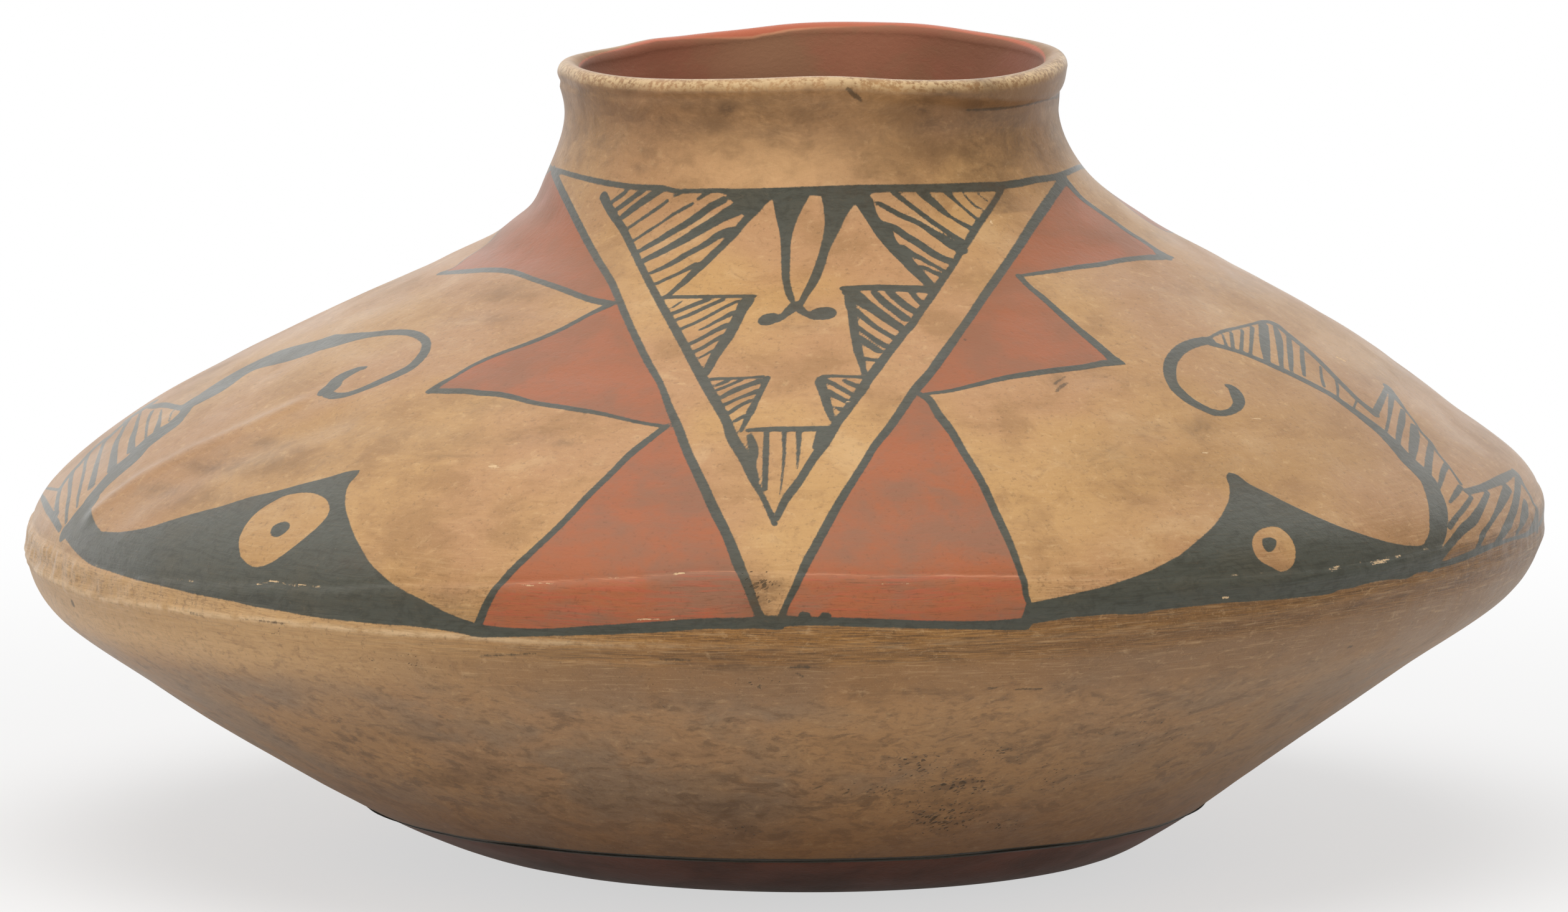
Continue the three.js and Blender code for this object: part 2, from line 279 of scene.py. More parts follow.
PANEL_STROKES = [
    [(1233, 514, 21), (1238, 511, 19), (1247, 514, 9), (1255, 510, 10), (1263, 504, 12), (1272, 496, 16),
     (1279, 489, 17)],
    [(1279, 489, 17), (1287, 498, 14), (1296, 504, 10), (1303, 506, 9), (1311, 505, 16), (1319, 503, 20),
     (1327, 502, 20)],
    [(1222, 329, 12), (1212, 339, 13), (1202, 349, 13), (1194, 358, 12), (1186, 368, 12), (1177, 378, 13),
     (1167, 388, 12), (1158, 397, 11), (1146, 408, 12), (1135, 419, 12), (1123, 430, 12), (1111, 441, 11),
     (1100, 452, 10), (1088, 462, 8), (1074, 474, 7)],
    [(1388, 316, 22), (1396, 333, 19), (1405, 351, 19), (1418, 371, 20), (1431, 388, 20), (1445, 404, 20),
     (1458, 418, 19), (1470, 431, 18), (1482, 443, 16), (1493, 454, 14)],
    [(984, 324, 6), (997, 315, 7), (1007, 307, 6)],
    [(989, 338, 7), (1003, 328, 8), (1020, 315, 8), (1034, 305, 9)],
    [(1001, 348, 9), (1021, 332, 11), (1041, 318, 12), (1062, 304, 12)],
    [(1010, 366, 5), (1034, 350, 5), (1053, 337, 6), (1066, 328, 6), (1073, 322, 5)],
    [(1020, 386, 4), (1040, 373, 5), (1060, 360, 4), (1080, 346, 5), (1099, 335, 6), (1114, 327, 5)],
    [(1122, 320, 6), (1138, 309, 8)],
    [(1083, 315, 4), (1101, 306, 7)],
    [(1027, 405, 6), (1042, 396, 8), (1060, 386, 9), (1080, 373, 10), (1101, 361, 11), (1122, 347, 12),
     (1143, 332, 12), (1164, 321, 12)],
    [(1034, 420, 8), (1046, 414, 9), (1060, 407, 10), (1080, 396, 11), (1101, 384, 13), (1122, 371, 15),
     (1143, 359, 16), (1161, 348, 18), (1180, 338, 22), (1200, 328, 24)],
    [(1046, 439, 5), (1060, 433, 6), (1082, 422, 8), (1101, 410, 9), (1120, 400, 9), (1139, 389, 10),
     (1153, 379, 12), (1169, 373, 14), (1182, 368, 11)],
    [(1056, 455, 5), (1075, 446, 5), (1091, 439, 5), (1106, 431, 7), (1118, 425, 8)],
    [(1412, 325, 7), (1424, 331, 9), (1440, 340, 9), (1455, 347, 9), (1470, 353, 9), (1485, 361, 9),
     (1500, 371, 11), (1515, 380, 13), (1530, 390, 15), (1545, 398, 14)],
    [(1438, 308, 10), (1449, 317, 9), (1462, 327, 8), (1481, 341, 8), (1500, 355, 8), (1517, 366, 8),
     (1531, 376, 9), (1545, 385, 10)],
    [(1484, 308, 17), (1494, 318, 13), (1504, 326, 12), (1515, 336, 10), (1526, 345, 7)],
    [(1533, 349, 5), (1545, 356, 7), (1561, 364, 8)],
    [(1524, 307, 12), (1533, 317, 7), (1545, 328, 5), (1558, 339, 5), (1570, 349, 5)],
    [(1551, 311, 3), (1561, 322, 4), (1570, 330, 4), (1579, 334, 3)],
    [(1574, 311, 2), (1588, 321, 3)],
    [(1424, 361, 13), (1440, 366, 12), (1456, 377, 12), (1470, 385, 12), (1484, 394, 12), (1500, 405, 12),
     (1516, 413, 11), (1530, 418, 11)],
    [(1452, 398, 13), (1467, 407, 10), (1481, 413, 8), (1493, 420, 7), (1505, 426, 6), (1517, 433, 6)],
    [(1480, 427, 6), (1490, 430, 7), (1500, 435, 7), (1514, 440, 8)],
    [(1067, 477, 6), (1118, 476, 6), (1176, 475, 6), (1211, 475, 6)],
    [(1204, 478, 13), (1199, 485, 21), (1192, 497, 18), (1184, 513, 18), (1177, 527, 18), (1170, 540, 17),
     (1161, 552, 16), (1152, 565, 16), (1146, 575, 15), (1139, 588, 14), (1133, 599, 12)],
    [(1081, 493, 3), (1095, 484, 3)],
    [(1082, 502, 6), (1100, 495, 6), (1117, 488, 7), (1136, 481, 7)],
    [(1088, 512, 5), (1104, 506, 6), (1120, 499, 6), (1137, 491, 6), (1160, 481, 6)],
    [(1097, 526, 5), (1120, 516, 5), (1145, 503, 5), (1168, 491, 5), (1185, 483, 5)],
    [(1124, 529, 3), (1136, 524, 4), (1148, 517, 5), (1162, 510, 6), (1177, 502, 8)],
    [(1109, 551, 6), (1128, 542, 6), (1148, 531, 7), (1168, 522, 9)],
    [(1117, 563, 6), (1131, 556, 6), (1146, 547, 6), (1160, 540, 8)],
    [(1124, 573, 3), (1134, 568, 4), (1144, 562, 4)],
    [(1356, 462, 8), (1390, 461, 9), (1420, 461, 10), (1450, 462, 11), (1480, 463, 12), (1493, 464, 13)],
    [(1366, 468, 19), (1367, 487, 19), (1369, 498, 15), (1371, 510, 16), (1373, 530, 15), (1376, 547, 15),
     (1379, 562, 16), (1382, 572, 14), (1386, 586, 12), (1389, 600, 9)],
    [(1366, 468, 20), (1380, 478, 21), (1390, 486, 18), (1400, 492, 16), (1420, 506, 15), (1434, 516, 14),
     (1452, 528, 13)],
    [(1405, 468, 10), (1414, 477, 12), (1424, 486, 12), (1440, 498, 12), (1456, 510, 13)],
    [(1430, 468, 12), (1440, 477, 12), (1451, 486, 12), (1464, 495, 11), (1476, 501, 10)],
    [(1465, 468, 9), (1474, 479, 9), (1483, 487, 9)],
    [(1374, 497, 12), (1388, 508, 10), (1404, 521, 9), (1422, 533, 8), (1440, 543, 8)],
    [(1378, 523, 8), (1388, 531, 8), (1398, 538, 8), (1410, 547, 9), (1426, 556, 9)],
    [(1380, 541, 11), (1390, 548, 12), (1400, 555, 11), (1413, 563, 10)],
    [(1388, 575, 7), (1400, 577, 6), (1410, 578, 6)],
    [(1142, 607, 5), (1170, 606, 5), (1200, 605, 4), (1225, 603, 5)],
    [(1233, 605, 11), (1226, 620, 10), (1217, 639, 10), (1212, 649, 11), (1208, 657, 13), (1202, 670, 11),
     (1196, 682, 8), (1191, 692, 7)],
    [(1152, 617, 5), (1168, 610, 6)],
    [(1153, 625, 5), (1174, 616, 5), (1192, 608, 5)],
    [(1160, 637, 7), (1182, 625, 9), (1202, 617, 8), (1222, 610, 9)],
    [(1166, 649, 6), (1182, 641, 5), (1199, 634, 6), (1217, 627, 8)],
    [(1173, 662, 7), (1188, 652, 6), (1205, 643, 6)],
    [(1182, 676, 6), (1196, 668, 6)],
    [(1322, 603, 5), (1345, 603, 5), (1365, 604, 5), (1386, 605, 6)],
    [(1318, 607, 13), (1318, 613, 18), (1322, 624, 17), (1326, 637, 16), (1330, 652, 15), (1334, 663, 13),
     (1338, 675, 9)],
    [(1324, 608, 8), (1340, 616, 8), (1352, 623, 8), (1364, 630, 8), (1374, 636, 8)],
    [(1356, 610, 5), (1364, 614, 8), (1373, 618, 8), (1384, 622, 9)],
    [(1331, 628, 10), (1341, 634, 10), (1352, 640, 9), (1364, 646, 9)],
    [(1342, 653, 3), (1349, 656, 7), (1357, 658, 9)],
    [(1203, 691, 6), (1220, 690, 7), (1240, 689, 8), (1280, 689, 9), (1320, 688, 9), (1335, 688, 9)],
    [(1205, 700, 12), (1211, 722, 17), (1208, 747, 16), (1215, 772, 12)],
    [(1232, 692, 10), (1231, 724, 11), (1229, 786, 10)],
    [(1260, 692, 9), (1260, 732, 6), (1254, 794, 3)],
    [(1284, 692, 11), (1283, 727, 7), (1281, 753, 3)],
    [(1323, 694, 22), (1312, 718, 13)],
]

# Edges of the serrated red fields, each a stroke of its own. The left one's upper edge is hidden.
LEFT_FIELD = [
    [(705, 437, 5), (746, 434, 7), (789, 432, 8), (821, 435, 9), (861, 449, 9), (904, 464, 10),
     (947, 480, 10), (981, 487, 10)],
    [(981, 488, 8), (947, 504, 6), (904, 527, 6), (861, 546, 6), (816, 562, 5), (787, 573, 5), (758, 586, 5),
     (730, 603, 5), (706, 617, 7), (694, 626, 10)],
    [(690, 627, 8), (715, 627, 9), (744, 627, 9), (773, 630, 9), (802, 632, 9), (830, 638, 9), (855, 645, 8),
     (913, 655, 8), (970, 665, 7), (1027, 678, 6), (1070, 685, 6)],
    [(1070, 685, 9), (1042, 706, 10), (1013, 729, 11), (984, 758, 10), (941, 800, 10), (901, 843, 10),
     (855, 886, 10), (820, 918, 11), (797, 944, 11), (777, 975, 13), (766, 1000, 14)],
]
RIGHT_UPPER_EDGE = [
    (1716, 291, 8), (1738, 316, 6), (1761, 334, 5), (1785, 351, 5), (1812, 371, 5), (1837, 387, 5),
    (1859, 402, 6), (1870, 410, 9), (1884, 413, 3),
]
RIGHT_FIELD = [
    [(1884, 413, 3), (1863, 413, 9), (1834, 414, 8), (1801, 417, 8), (1767, 423, 8), (1734, 427, 8),
     (1700, 433, 7), (1667, 438, 6), (1637, 442, 5)],
    [(1638, 442, 9), (1656, 461, 8), (1674, 476, 9), (1694, 494, 9), (1712, 510, 10), (1734, 530, 10),
     (1756, 548, 11), (1779, 568, 12), (1790, 578, 13), (1807, 584, 3)],
    [(1807, 584, 3), (1779, 583, 10), (1741, 589, 9), (1698, 594, 9), (1655, 600, 9), (1612, 607, 8),
     (1569, 617, 7), (1526, 627, 6), (1488, 632, 5)],
    [(1478, 632, 8), (1493, 641, 12), (1509, 666, 14), (1529, 692, 14), (1546, 721, 13), (1563, 749, 13),
     (1578, 775, 13), (1592, 804, 13), (1604, 830, 13), (1615, 853, 13), (1627, 880, 12), (1639, 912, 11),
     (1646, 932, 11), (1650, 955, 10), (1656, 970, 9)],
]

# The birds' crests: a band that ends in a curl, a thin line above it, and hatches between the two.
LEFT_CREST = [
    (98, 852, 14), (114, 837, 16), (137, 811, 17), (146, 797, 14), (161, 780, 13), (186, 755, 16),
    (208, 736, 16), (230, 714, 14), (252, 697, 14), (274, 682, 12), (292, 665, 11), (302, 654, 10),
    (315, 643, 12), (338, 629, 18), (370, 606, 24), (400, 589, 33), (429, 576, 34), (457, 568, 31),
    (486, 561, 24), (515, 552, 20), (543, 546, 16), (572, 540, 11), (601, 535, 8), (628, 532, 9),
    (658, 533, 11), (675, 539, 14), (684, 548, 16), (683, 560, 15), (673, 575, 13), (658, 589, 11),
    (638, 600, 10), (618, 609, 9), (598, 618, 8), (578, 626, 7), (561, 632, 7), (546, 635, 9),
    (534, 635, 13), (525, 630, 19), (533, 620, 18), (542, 610, 14), (552, 603, 11), (562, 598, 9),
    (573, 593, 7), (584, 590, 5),
]
LEFT_CREST_STROKES = [
    [(236, 652, 4), (248, 651, 8), (265, 650, 9), (281, 653, 9), (299, 656, 10)],
    [(230, 655, 4), (209, 669, 3), (193, 683, 3), (176, 698, 3), (163, 707, 3), (152, 716, 3),
     (138, 730, 3), (125, 744, 3), (113, 757, 3), (103, 769, 3), (94, 783, 4)],
    [(276, 660, 3), (271, 676, 3)],
    [(259, 657, 3), (257, 667, 5), (255, 677, 7), (251, 689, 9)],
    [(244, 659, 5), (238, 672, 5), (235, 686, 5), (233, 703, 5)],
    [(226, 659, 3), (221, 672, 5), (217, 686, 7), (211, 704, 10), (209, 722, 14)],
    [(209, 670, 2), (201, 680, 4), (193, 694, 5), (185, 710, 8), (181, 729, 12), (178, 751, 15)],
    [(176, 699, 2), (166, 709, 4), (160, 723, 5), (154, 742, 7), (149, 761, 9), (144, 780, 10)],
    [(152, 716, 2), (142, 726, 4), (136, 739, 5), (133, 755, 5), (128, 775, 5), (123, 796, 5),
     (121, 812, 4)],
    [(125, 745, 2), (115, 756, 5), (111, 771, 7), (109, 791, 6), (105, 812, 6), (102, 836, 5)],
    [(104, 769, 2), (96, 780, 4), (91, 793, 6), (88, 809, 7), (87, 825, 8)],
    [(70, 780, 5), (82, 783, 5), (94, 784, 5)],
    [(61, 791, 6), (67, 802, 11), (74, 817, 13), (83, 831, 13), (91, 847, 11)],
]
RIGHT_CURL = [
    (1971, 619, 4), (1980, 623, 9), (1988, 634, 19), (1991, 648, 20), (1981, 659, 13), (1966, 663, 10),
    (1951, 662, 10), (1934, 655, 10), (1915, 645, 12), (1898, 632, 14), (1885, 617, 16), (1880, 599, 21),
    (1882, 581, 22), (1894, 565, 20), (1911, 555, 17), (1934, 549, 14), (1944, 548, 12),
]
RIGHT_CREST = [
    (1945, 553, 8), (1973, 561, 6), (1999, 569, 6), (2022, 578, 6), (2045, 588, 7), (2068, 598, 7),
    (2094, 610, 7), (2120, 623, 7), (2146, 638, 7), (2171, 656, 8), (2197, 676, 10), (2220, 694, 12),
    (2243, 716, 15), (2263, 737, 17), (2282, 755, 18), (2296, 771, 21), (2305, 789, 24), (2311, 806, 28),
    (2314, 824, 30), (2314, 844, 30), (2312, 862, 28), (2307, 880, 30), (2303, 897, 30),
]
RIGHT_CREST_STROKES = [
    [(1943, 544, 5), (1963, 534, 6), (1991, 527, 5), (2014, 521, 5), (2029, 517, 5), (2049, 521, 6),
     (2066, 534, 6), (2086, 550, 6), (2106, 567, 6), (2125, 585, 6), (2143, 603, 6), (2163, 623, 6),
     (2183, 642, 6), (2209, 664, 8)],
    [(1964, 539, 3), (1970, 556, 5)],
    [(1978, 536, 6), (1981, 562, 7)],
    [(1996, 532, 6), (1994, 566, 7)],
    [(2012, 527, 8), (2009, 569, 6)],
    [(2030, 521, 16), (2032, 552, 17), (2036, 580, 11)],
    [(2049, 523, 6), (2055, 546, 12), (2059, 589, 7)],
    [(2071, 540, 8), (2073, 566, 10), (2075, 595, 7)],
    [(2092, 560, 7), (2093, 580, 8), (2096, 603, 6)],
    [(2122, 589, 4), (2124, 606, 5), (2128, 620, 5)],
    [(2147, 609, 4), (2150, 623, 5), (2150, 636, 4)],
    [(2180, 644, 4), (2176, 655, 4)],
    [(2230, 621, 9), (2220, 643, 12), (2210, 664, 14)],
    [(2231, 622, 8), (2247, 643, 6), (2261, 661, 3), (2273, 676, 3), (2285, 694, 3), (2300, 710, 4),
     (2312, 728, 3), (2325, 744, 3), (2337, 760, 3), (2348, 776, 4)],
    [(2237, 632, 11), (2235, 652, 9), (2232, 674, 6), (2228, 692, 6)],
    [(2255, 659, 9), (2253, 676, 13), (2249, 694, 11), (2247, 712, 9)],
    [(2273, 684, 11), (2274, 698, 17), (2272, 716, 17), (2270, 734, 12)],
    [(2301, 713, 12), (2298, 731, 13), (2296, 749, 13), (2296, 762, 12)],
    [(2325, 746, 12), (2319, 760, 11), (2316, 774, 8), (2312, 787, 6)],
    [(2348, 781, 12), (2341, 792, 11), (2331, 806, 5)],
]
# The fan between one bird's crest and the next bird.
FAN_STROKES = [
    [(2358, 789, 12), (2381, 783, 13), (2399, 776, 15), (2419, 767, 17), (2434, 756, 9)],
    [(2437, 760, 7), (2448, 778, 4), (2460, 796, 3), (2469, 813, 3), (2474, 831, 3), (2476, 845, 4)],
    [(2476, 847, 8), (2458, 858, 9), (2435, 865, 7), (2414, 872, 8), (2396, 879, 11), (2376, 887, 13),
     (2355, 896, 12), (2333, 904, 11), (2314, 909, 10)],
    [(2366, 797, 9), (2355, 814, 10), (2342, 830, 10), (2332, 845, 11)],
    [(2392, 790, 10), (2382, 813, 13), (2369, 835, 18), (2355, 847, 17), (2341, 864, 14), (2328, 881, 12),
     (2317, 898, 13)],
    [(2424, 783, 18), (2416, 803, 15), (2405, 826, 9), (2396, 842, 8), (2387, 856, 9), (2378, 880, 6)],
    [(2440, 770, 11), (2439, 794, 11), (2435, 817, 13), (2428, 838, 14), (2417, 858, 11), (2408, 873, 8)],
    [(2454, 808, 11), (2452, 826, 12), (2446, 844, 7), (2440, 856, 5)],
    [(2471, 817, 4), (2471, 830, 7), (2467, 844, 8), (2463, 855, 5)],
]

# Outlines, each made of smooth stretches that meet at corners.
LEFT_HEAD = [
    [(147, 815), (151, 838), (160, 851)],
    [(160, 851), (198, 851), (238, 845), (278, 833), (318, 822), (358, 812), (404, 798), (443, 789),
     (486, 777), (529, 766), (561, 757), (579, 755)],
    [(579, 755), (575, 763), (562, 777), (556, 795), (556, 815), (561, 835), (569, 858), (581, 881),
     (595, 904), (612, 921), (632, 938), (653, 950)],
    [(650, 950), (675, 961), (698, 974), (724, 987), (756, 999)],
    [(773, 1026), (744, 1020), (710, 1014), (658, 1007), (601, 1003), (543, 997), (495, 991), (443, 981),
     (400, 974), (364, 965), (313, 955), (261, 942), (215, 931), (175, 918), (137, 904), (113, 882),
     (96, 858)],
]
LEFT_EYE = [
    [(385, 892), (383, 869), (391, 849), (406, 830), (423, 816), (440, 806), (456, 798), (471, 794),
     (495, 792), (513, 796), (526, 805), (530, 818), (526, 830), (515, 843), (500, 856), (486, 867),
     (470, 879), (451, 892), (434, 902), (417, 908), (404, 908), (394, 902), (385, 892)],
]
LEFT_PUPIL = [
    [(434, 856), (437, 847), (446, 841), (458, 838), (466, 841), (466, 848), (458, 856), (448, 862),
     (438, 862), (434, 856)],
]
RIGHT_HEAD = [
    [(1975, 758), (1971, 764), (1976, 780), (1976, 797), (1969, 816), (1957, 836), (1940, 854), (1920, 871),
     (1898, 889), (1875, 902), (1847, 916), (1812, 929), (1778, 941), (1743, 949), (1703, 958), (1650, 969)],
    [(1640, 1007), (1669, 1002), (1697, 997), (1726, 992), (1760, 990), (1783, 987), (1835, 987),
     (1864, 981), (1898, 977), (1927, 974), (1970, 969), (2013, 967), (2056, 964), (2090, 961), (2122, 958),
     (2148, 954), (2157, 949), (2180, 945), (2203, 938), (2225, 933), (2248, 931), (2268, 930), (2284, 921),
     (2301, 917), (2314, 909)],
    [(2307, 880), (2300, 866)],
    [(2294, 871), (2286, 874), (2266, 874), (2237, 869), (2208, 861), (2180, 852), (2151, 842), (2122, 830),
     (2093, 817), (2065, 804), (2036, 789), (2007, 775), (1987, 761), (1975, 758)],
]
RIGHT_EYE = [
    [(2013, 872), (2016, 860), (2026, 850), (2042, 845), (2056, 846), (2070, 856), (2080, 870), (2084, 886),
     (2082, 903), (2073, 913), (2062, 916), (2047, 909), (2030, 901), (2019, 889), (2013, 872)],
]
RIGHT_PUPIL = [
    [(2029, 864), (2036, 862), (2047, 862), (2053, 868), (2052, 877), (2047, 883), (2041, 886), (2035, 882),
     (2030, 874), (2029, 864)],
]

# Where the paint has flaked off, and pale scuffs on the slip.
FLAKES = [
    [(837, 937, 4), (858, 938, 3)], [(866, 936, 4), (889, 935, 3)], [(1084, 921, 4), (1098, 920, 3)],
    [(1110, 916, 3), (1120, 915, 2)], [(1023, 996, 3), (1040, 994, 5), (1057, 992, 4)],
    [(1076, 994, 2), (1082, 994, 2)], [(1122, 990, 2), (1148, 988, 3)],
    [(410, 935, 4), (428, 932, 4), (445, 932, 4)], [(449, 935, 3), (456, 936, 3)],
    [(461, 937, 4), (475, 939, 5), (488, 938, 4)], [(2142, 913, 6), (2158, 909, 6)],
    [(2209, 903, 6), (2229, 899, 6)], [(2232, 898, 4), (2237, 897, 4)], [(2247, 893, 3), (2255, 890, 3)],
    [(1971, 960, 3), (1979, 960, 3)], [(1418, 938, 2), (1462, 936, 2)], [(790, 748, 9), (798, 751, 9)],
    [(735, 744, 3), (744, 741, 3)], [(2150, 575, 3), (2157, 578, 4)], [(2012, 671, 3), (2028, 672, 3)],
    [(1934, 725, 3), (1940, 726, 3)], [(1112, 555, 4), (1115, 557, 3)], [(1253, 540, 3), (1256, 541, 3)],
    [(1592, 350, 3), (1594, 356, 4)], [(1360, 646, 4), (1364, 645, 4)],
]

# Dark marks: scuffs, scrapes and a thumb-nail dash, as strokes.
SCUFFS = [
    [(1361, 143, 5), (1372, 151, 9), (1384, 162, 6)], [(1698, 629, 3), (1705, 621, 6), (1716, 614, 3)],
    [(1695, 616, 4), (1712, 604, 2)], [(1790, 1203, 2), (1830, 1212, 2)], [(1850, 1222, 2), (1925, 1230, 2)],
    [(1590, 1108, 5), (1606, 1107, 3)], [(1612, 1109, 4), (1622, 1108, 2)],
    [(1630, 1108, 4), (1674, 1109, 5)], [(1506, 1127, 3), (1522, 1127, 2)],
    [(1281, 1085, 4), (1290, 1089, 3)], [(1219, 1105, 4), (1223, 1108, 3)],
    [(1256, 1216, 2), (1268, 1214, 2)], [(1356, 1278, 5), (1368, 1268, 4)],
    [(1306, 1269, 3), (1320, 1264, 4)], [(770, 1057, 3), (860, 1053, 2)], [(1060, 1063, 3), (1110, 1065, 2)],
    [(1270, 1075, 3), (1298, 1075, 5)], [(302, 986, 2), (318, 989, 2)], [(386, 995, 2), (395, 996, 2)],
    [(414, 998, 2), (456, 1003, 2)], [(112, 970, 3), (115, 975, 2)], [(2168, 1042, 3), (2174, 1040, 2)],
    [(1700, 156, 6), (1708, 152, 7)], [(1556, 178, 3), (1600, 176, 5)],
    [(1600, 176, 5), (1655, 168, 4), (1700, 157, 3)], [(1551, 545, 4), (1552, 546, 3)],
]
# Soft stains and grime, and painted shade in the shoulder's dragged hollow and on the neck's right: x, y,
# half width, half height and strength.
STAINS_AND_SHADE = [
    (1170, 178, 22, 14, 1.0), (1110, 170, 40, 12, 0.5), (1075, 190, 26, 12, 0.7), (1040, 205, 20, 14, 0.35),
    (945, 150, 45, 10, 0.6), (960, 170, 14, 14, 0.4), (1028, 268, 16, 9, 0.6), (1035, 215, 60, 26, 0.3),
    (1345, 186, 26, 9, 0.8), (1320, 172, 22, 9, 0.4), (1484, 172, 26, 16, 1.0), (1500, 205, 34, 24, 0.9),
    (1525, 150, 26, 10, 0.8), (1585, 142, 34, 12, 0.7), (1420, 200, 60, 30, 0.3), (1515, 235, 30, 22, 0.5),
    (1610, 200, 50, 26, 0.75), (1640, 240, 60, 40, 0.6), (1690, 220, 40, 50, 0.45), (1570, 255, 16, 12, 0.6),
    (1250, 200, 70, 16, 0.3), (1130, 215, 60, 20, 0.3), (1560, 270, 60, 26, 0.3), (905, 200, 16, 60, 0.3),
    (800, 470, 60, 16, 0.45), (790, 510, 70, 14, 0.35), (640, 700, 150, 30, 0.3), (430, 740, 130, 28, 0.5),
    (330, 800, 90, 18, 0.4), (780, 650, 70, 12, 0.5), (860, 700, 60, 16, 0.35), (760, 660, 22, 16, 0.4),
    (912, 710, 26, 7, 0.6), (262, 784, 44, 12, 0.8), (345, 744, 54, 12, 0.75), (436, 708, 54, 12, 0.6),
    (720, 733, 60, 3, 0.5), (590, 900, 90, 22, 0.3), (720, 950, 60, 18, 0.5), (1930, 690, 26, 18, 0.75),
    (1930, 760, 120, 40, 0.25), (1780, 730, 60, 26, 0.4), (1700, 610, 14, 12, 0.5), (1830, 700, 50, 26, 0.3),
    (1745, 600, 40, 12, 0.3), (2000, 460, 90, 24, 0.35), (1880, 380, 60, 14, 0.35), (2250, 600, 70, 26, 0.3),
    (2390, 700, 50, 40, 0.35), (1280, 525, 60, 6, 0.35), (1300, 500, 50, 30, 0.15), (1010, 300, 20, 8, 0.3),
    (1160, 900, 50, 30, 0.1), (1215, 968, 26, 16, 1.0), (1235, 940, 34, 14, 0.7), (1260, 985, 14, 10, 0.6),
    (1390, 935, 60, 5, 0.3), (1200, 1075, 80, 8, 0.9), (1290, 1072, 40, 8, 0.7), (1120, 1060, 60, 6, 0.5),
    (1240, 1045, 14, 8, 0.6), (1550, 1030, 20, 6, 0.5), (900, 1055, 90, 6, 0.5), (1110, 1255, 60, 12, 0.45),
    (1180, 1300, 110, 26, 0.6), (1230, 1335, 120, 16, 0.5), (1540, 1290, 60, 16, 0.4),
    (640, 1180, 100, 24, 0.4), (720, 1250, 60, 16, 0.45), (940, 1290, 90, 22, 0.4),
    (1500, 1115, 60, 8, 0.35), (1680, 1180, 160, 30, 0.2), (1900, 1120, 120, 20, 0.3),
]
# Small pits in the lower wall and the flaked tip of the panel: x, y, half width, half height and density.
PITS = [
    (1475, 1230, 46, 20, 1.0), (1600, 1210, 40, 16, 0.7), (1545, 1265, 60, 16, 1.0),
    (1520, 1310, 60, 24, 1.0), (1600, 1325, 40, 10, 0.8), (1700, 1250, 50, 30, 0.5),
    (1410, 1270, 50, 10, 0.6), (1450, 1300, 40, 20, 0.4), (1220, 1100, 60, 12, 0.4),
    (1160, 1335, 60, 12, 0.4), (450, 1015, 50, 10, 0.7), (300, 1000, 120, 20, 0.3), (1220, 940, 30, 30, 1.2),
    (1100, 1090, 200, 14, 0.2), (1850, 1180, 100, 60, 0.25), (640, 1060, 160, 20, 0.3),
]

# The hump at the neck's root, and the ridge and the hollow that a drag of the hand left on the shoulder.
NECK_HUMP = (826, 366)
DRAG_RIDGE = [(150, 822), (228, 764), (304, 724), (392, 686), (470, 652)]
DRAG_HOLLOW = [(212, 812), (262, 782), (340, 746), (430, 712), (520, 680)]

# The left field's upper edge by degrees round the jar, arc and width in millimetres.
LEFT_HIDDEN_EDGE = [
    (-173, 237.1, 0.9), (-184, 233.5, 0.7), (-191, 228.5, 0.6), (-194, 223.5, 0.6), (-191, 220, 0.6),
    (-185.6, 218.4, 0.6), (-177.2, 216, 0.5), (-173.1, 211.2, 0.5), (-169.8, 207.7, 0.5), (-171, 205.3, 0.5),
]

# How the keel's worked ridge, the fold above it and the rolled lip wander, by degrees round the jar.
RIDGE = [
    (-152, -4.2), (-143, -3.2), (-131, -2.3), (-114, -2), (-90, -2.4), (-70, -1.6), (-49, -0.3), (-35, 1.2),
    (0, 0.5), (30, -1), (90, -2.5), (150, -2), (180, -3.5),
]
FOLD = [
    (-146, 2.4), (-131, 4.8), (-111, 8.9), (-98, 12.2), (-91, 13.4), (-80, 12), (-62, 9.2), (-45, 7.2),
    (-38, 7.5), (0, 9), (45, 6), (90, 11), (135, 8), (180, 3),
]
BEAD_EDGE = [
    (-180, 148.2), (-140, 148.5), (-110, 149), (-90, 149.4), (-62, 148.2), (-50, 147), (-40, 146),
    (-8, 145.4), (30, 146.5), (90, 148.5), (150, 148.3),
]
LIP_PRESSES = [(132, 0.42, 8), (106, -0.28, 9), (62, 0.33, 11), (-86, 0.5, 13)]
# Where the red slip starts on the crest, and how far down inside its brightest band goes.
SLIP_EDGE = [
    (-180, 2.8), (-150, 2.0), (-122, 0.4), (-90, 0.1), (-60, 0.3), (-32, 1.8), (0, 2.6), (30, 1.0),
    (60, -0.5), (90, -1), (120, -0.5), (150, 1.4),
]
RIM_BAND = [
    (-180, 3.2), (-90, 1.0), (0, 3.0), (50, 1.4), (70, 1.5), (81, 2.1), (95, 2.4), (105, 3.2), (114, 2.4),
    (124, 1.4), (145, 1.3),
]
BEAD_STAND = [
    (-180, -0.55), (-140, -0.3), (-90, 0), (-55, 0.1), (-35, 0.25), (-8, -0.1), (30, 0), (90, 0),
    (150, -0.3),
]


def smoothstep(value, low, high):
    share = np.clip((value - low) / (high - low), 0, 1)
    return share * share * (3 - 2 * share)


